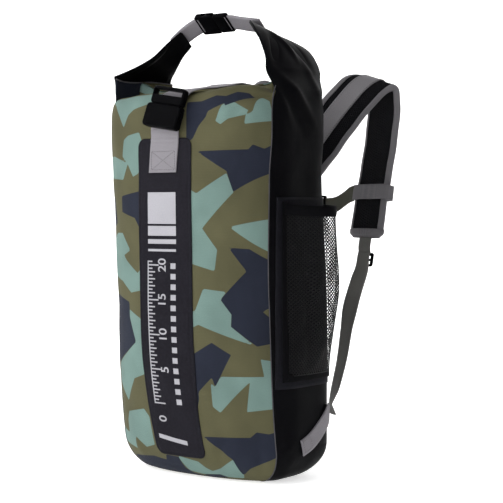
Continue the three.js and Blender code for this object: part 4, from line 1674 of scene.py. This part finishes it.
add_slider("right", 1)
add_slider("left", -1)
left_sternum = Path(
    (
        (-74, 277, 421, 0, 0, 1),
        (-66, 279, 418, 0, 0, 1),
        (-56, 279.5, 407, 0, 0.1, 1),
        (-48, 279, 401, 0, 0, 1),
        (-40, 279, 399, 0, 0, 1),
    )
)
left_band = band("left_sternum_band", left_sternum, 25, STERNUM_WEBBING, rows=40)
settle(left_band, "sternum_strap", "dark_webbing", "left_sternum_webbing")
right_sternum = Path(
    (
        (8, 279, 399, 0, 0, 1),
        (18, 279, 399, 0, 0, 1),
        (34, 279, 401, 0, 0, 1),
        (49, 279.5, 409, 0, 0.1, 1),
        (60, 279, 416, 0, 0, 1),
        (70, 277, 419, 0, 0, 1),
    )
)
right_band = band("right_sternum_band", right_sternum, 25, STERNUM_WEBBING, rows=40)
settle(right_band, "sternum_plug", "dark_webbing", "right_sternum_webbing")
NODES["mouth_stiffener"].data.materials.clear()
NODES["mouth_stiffener"].data.materials.append(BOARD)


# ------------------------------------------------------------------ floor and light
def spun_stage():
    """A pale floor that curves up into a wall all round."""
    bm = bmesh.new()
    flat, bend, height = 3.2, 1.2, 5.0
    turns = [math.radians(15 * k) for k in range(7)]
    profile = [(0, 0)]
    profile += [(flat + bend * math.sin(turn), bend - bend * math.cos(turn)) for turn in turns]
    profile += [(flat + bend, height)]
    line = [bm.verts.new((r, 0, z - 0.0005)) for r, z in profile]
    edges = [bm.edges.new(pair) for pair in zip(line, line[1:])]
    turn = {"cent": (0, 0, 0), "axis": (0, 0, 1), "angle": 2 * math.pi, "steps": 96, "use_merge": True}
    bmesh.ops.spin(bm, geom=line + edges, **turn)
    bmesh.ops.remove_doubles(bm, verts=bm.verts, dist=1e-5)
    bmesh.ops.recalc_face_normals(bm, faces=bm.faces)
    bmesh.ops.reverse_faces(bm, faces=bm.faces)
    material, shader = finish("pale_floor", 0.9, Specular_IOR_Level=0.1)
    shader.inputs["Emission Color"].default_value = (1, 1, 1, 1)
    shader.inputs["Emission Strength"].default_value = 0.62
    shader.inputs["Base Color"].default_value = linear("#F4F4F4")
    add_object("floor", bm, material)


def add_light(name, azimuth, elevation, distance, size, power):
    """A soft square lamp that looks at the middle of the bag."""
    lamp = bpy.data.lights.new(name, "AREA")
    lamp.shape = "SQUARE"
    lamp.size = size
    lamp.energy = power
    made = bpy.data.objects.new(name, lamp)
    a, e = math.radians(azimuth), math.radians(elevation)
    made.location = Vector((math.sin(a) * math.cos(e), -math.cos(a) * math.cos(e), math.sin(e))) * distance
    made.location.z += 0.3
    aim = Vector((0, 0, 0.3)) - made.location
    made.rotation_euler = aim.to_track_quat("-Z", "Y").to_euler()
    bpy.context.scene.collection.objects.link(made)


def black_flag():
    """A black card beside the bag, out of the picture, which keeps the pale room off its right side."""
    bm = bmesh.new()
    turn = Matrix.Translation((1.35, 0.55, 0.9)) @ Matrix.Rotation(math.radians(-90), 4, "Y")
    half_size = Matrix.Diagonal((0.9, 1.45, 1, 1))
    bmesh.ops.create_grid(bm, x_segments=1, y_segments=1, size=1, matrix=turn @ half_size)
    material, shader = finish("black_card", 0.95, Specular_IOR_Level=0.0)
    shader.inputs["Base Color"].default_value = linear("#0A0A0A")
    add_object("black_flag", bm, material, smooth_faces=False)


spun_stage()
black_flag()
add_light("key", -12, 38, 2.6, 1.6, 17)
add_light("back_fill", 215, 35, 2.8, 2.0, 9)
add_light("top", 20, 80, 2.8, 2.4, 12)
world = bpy.data.worlds.new("studio")
world.use_nodes = True
world.node_tree.nodes["Background"].inputs["Color"].default_value = linear("#FFFFFF")
world.node_tree.nodes["Background"].inputs["Strength"].default_value = 0.2
bpy.context.scene.world = world
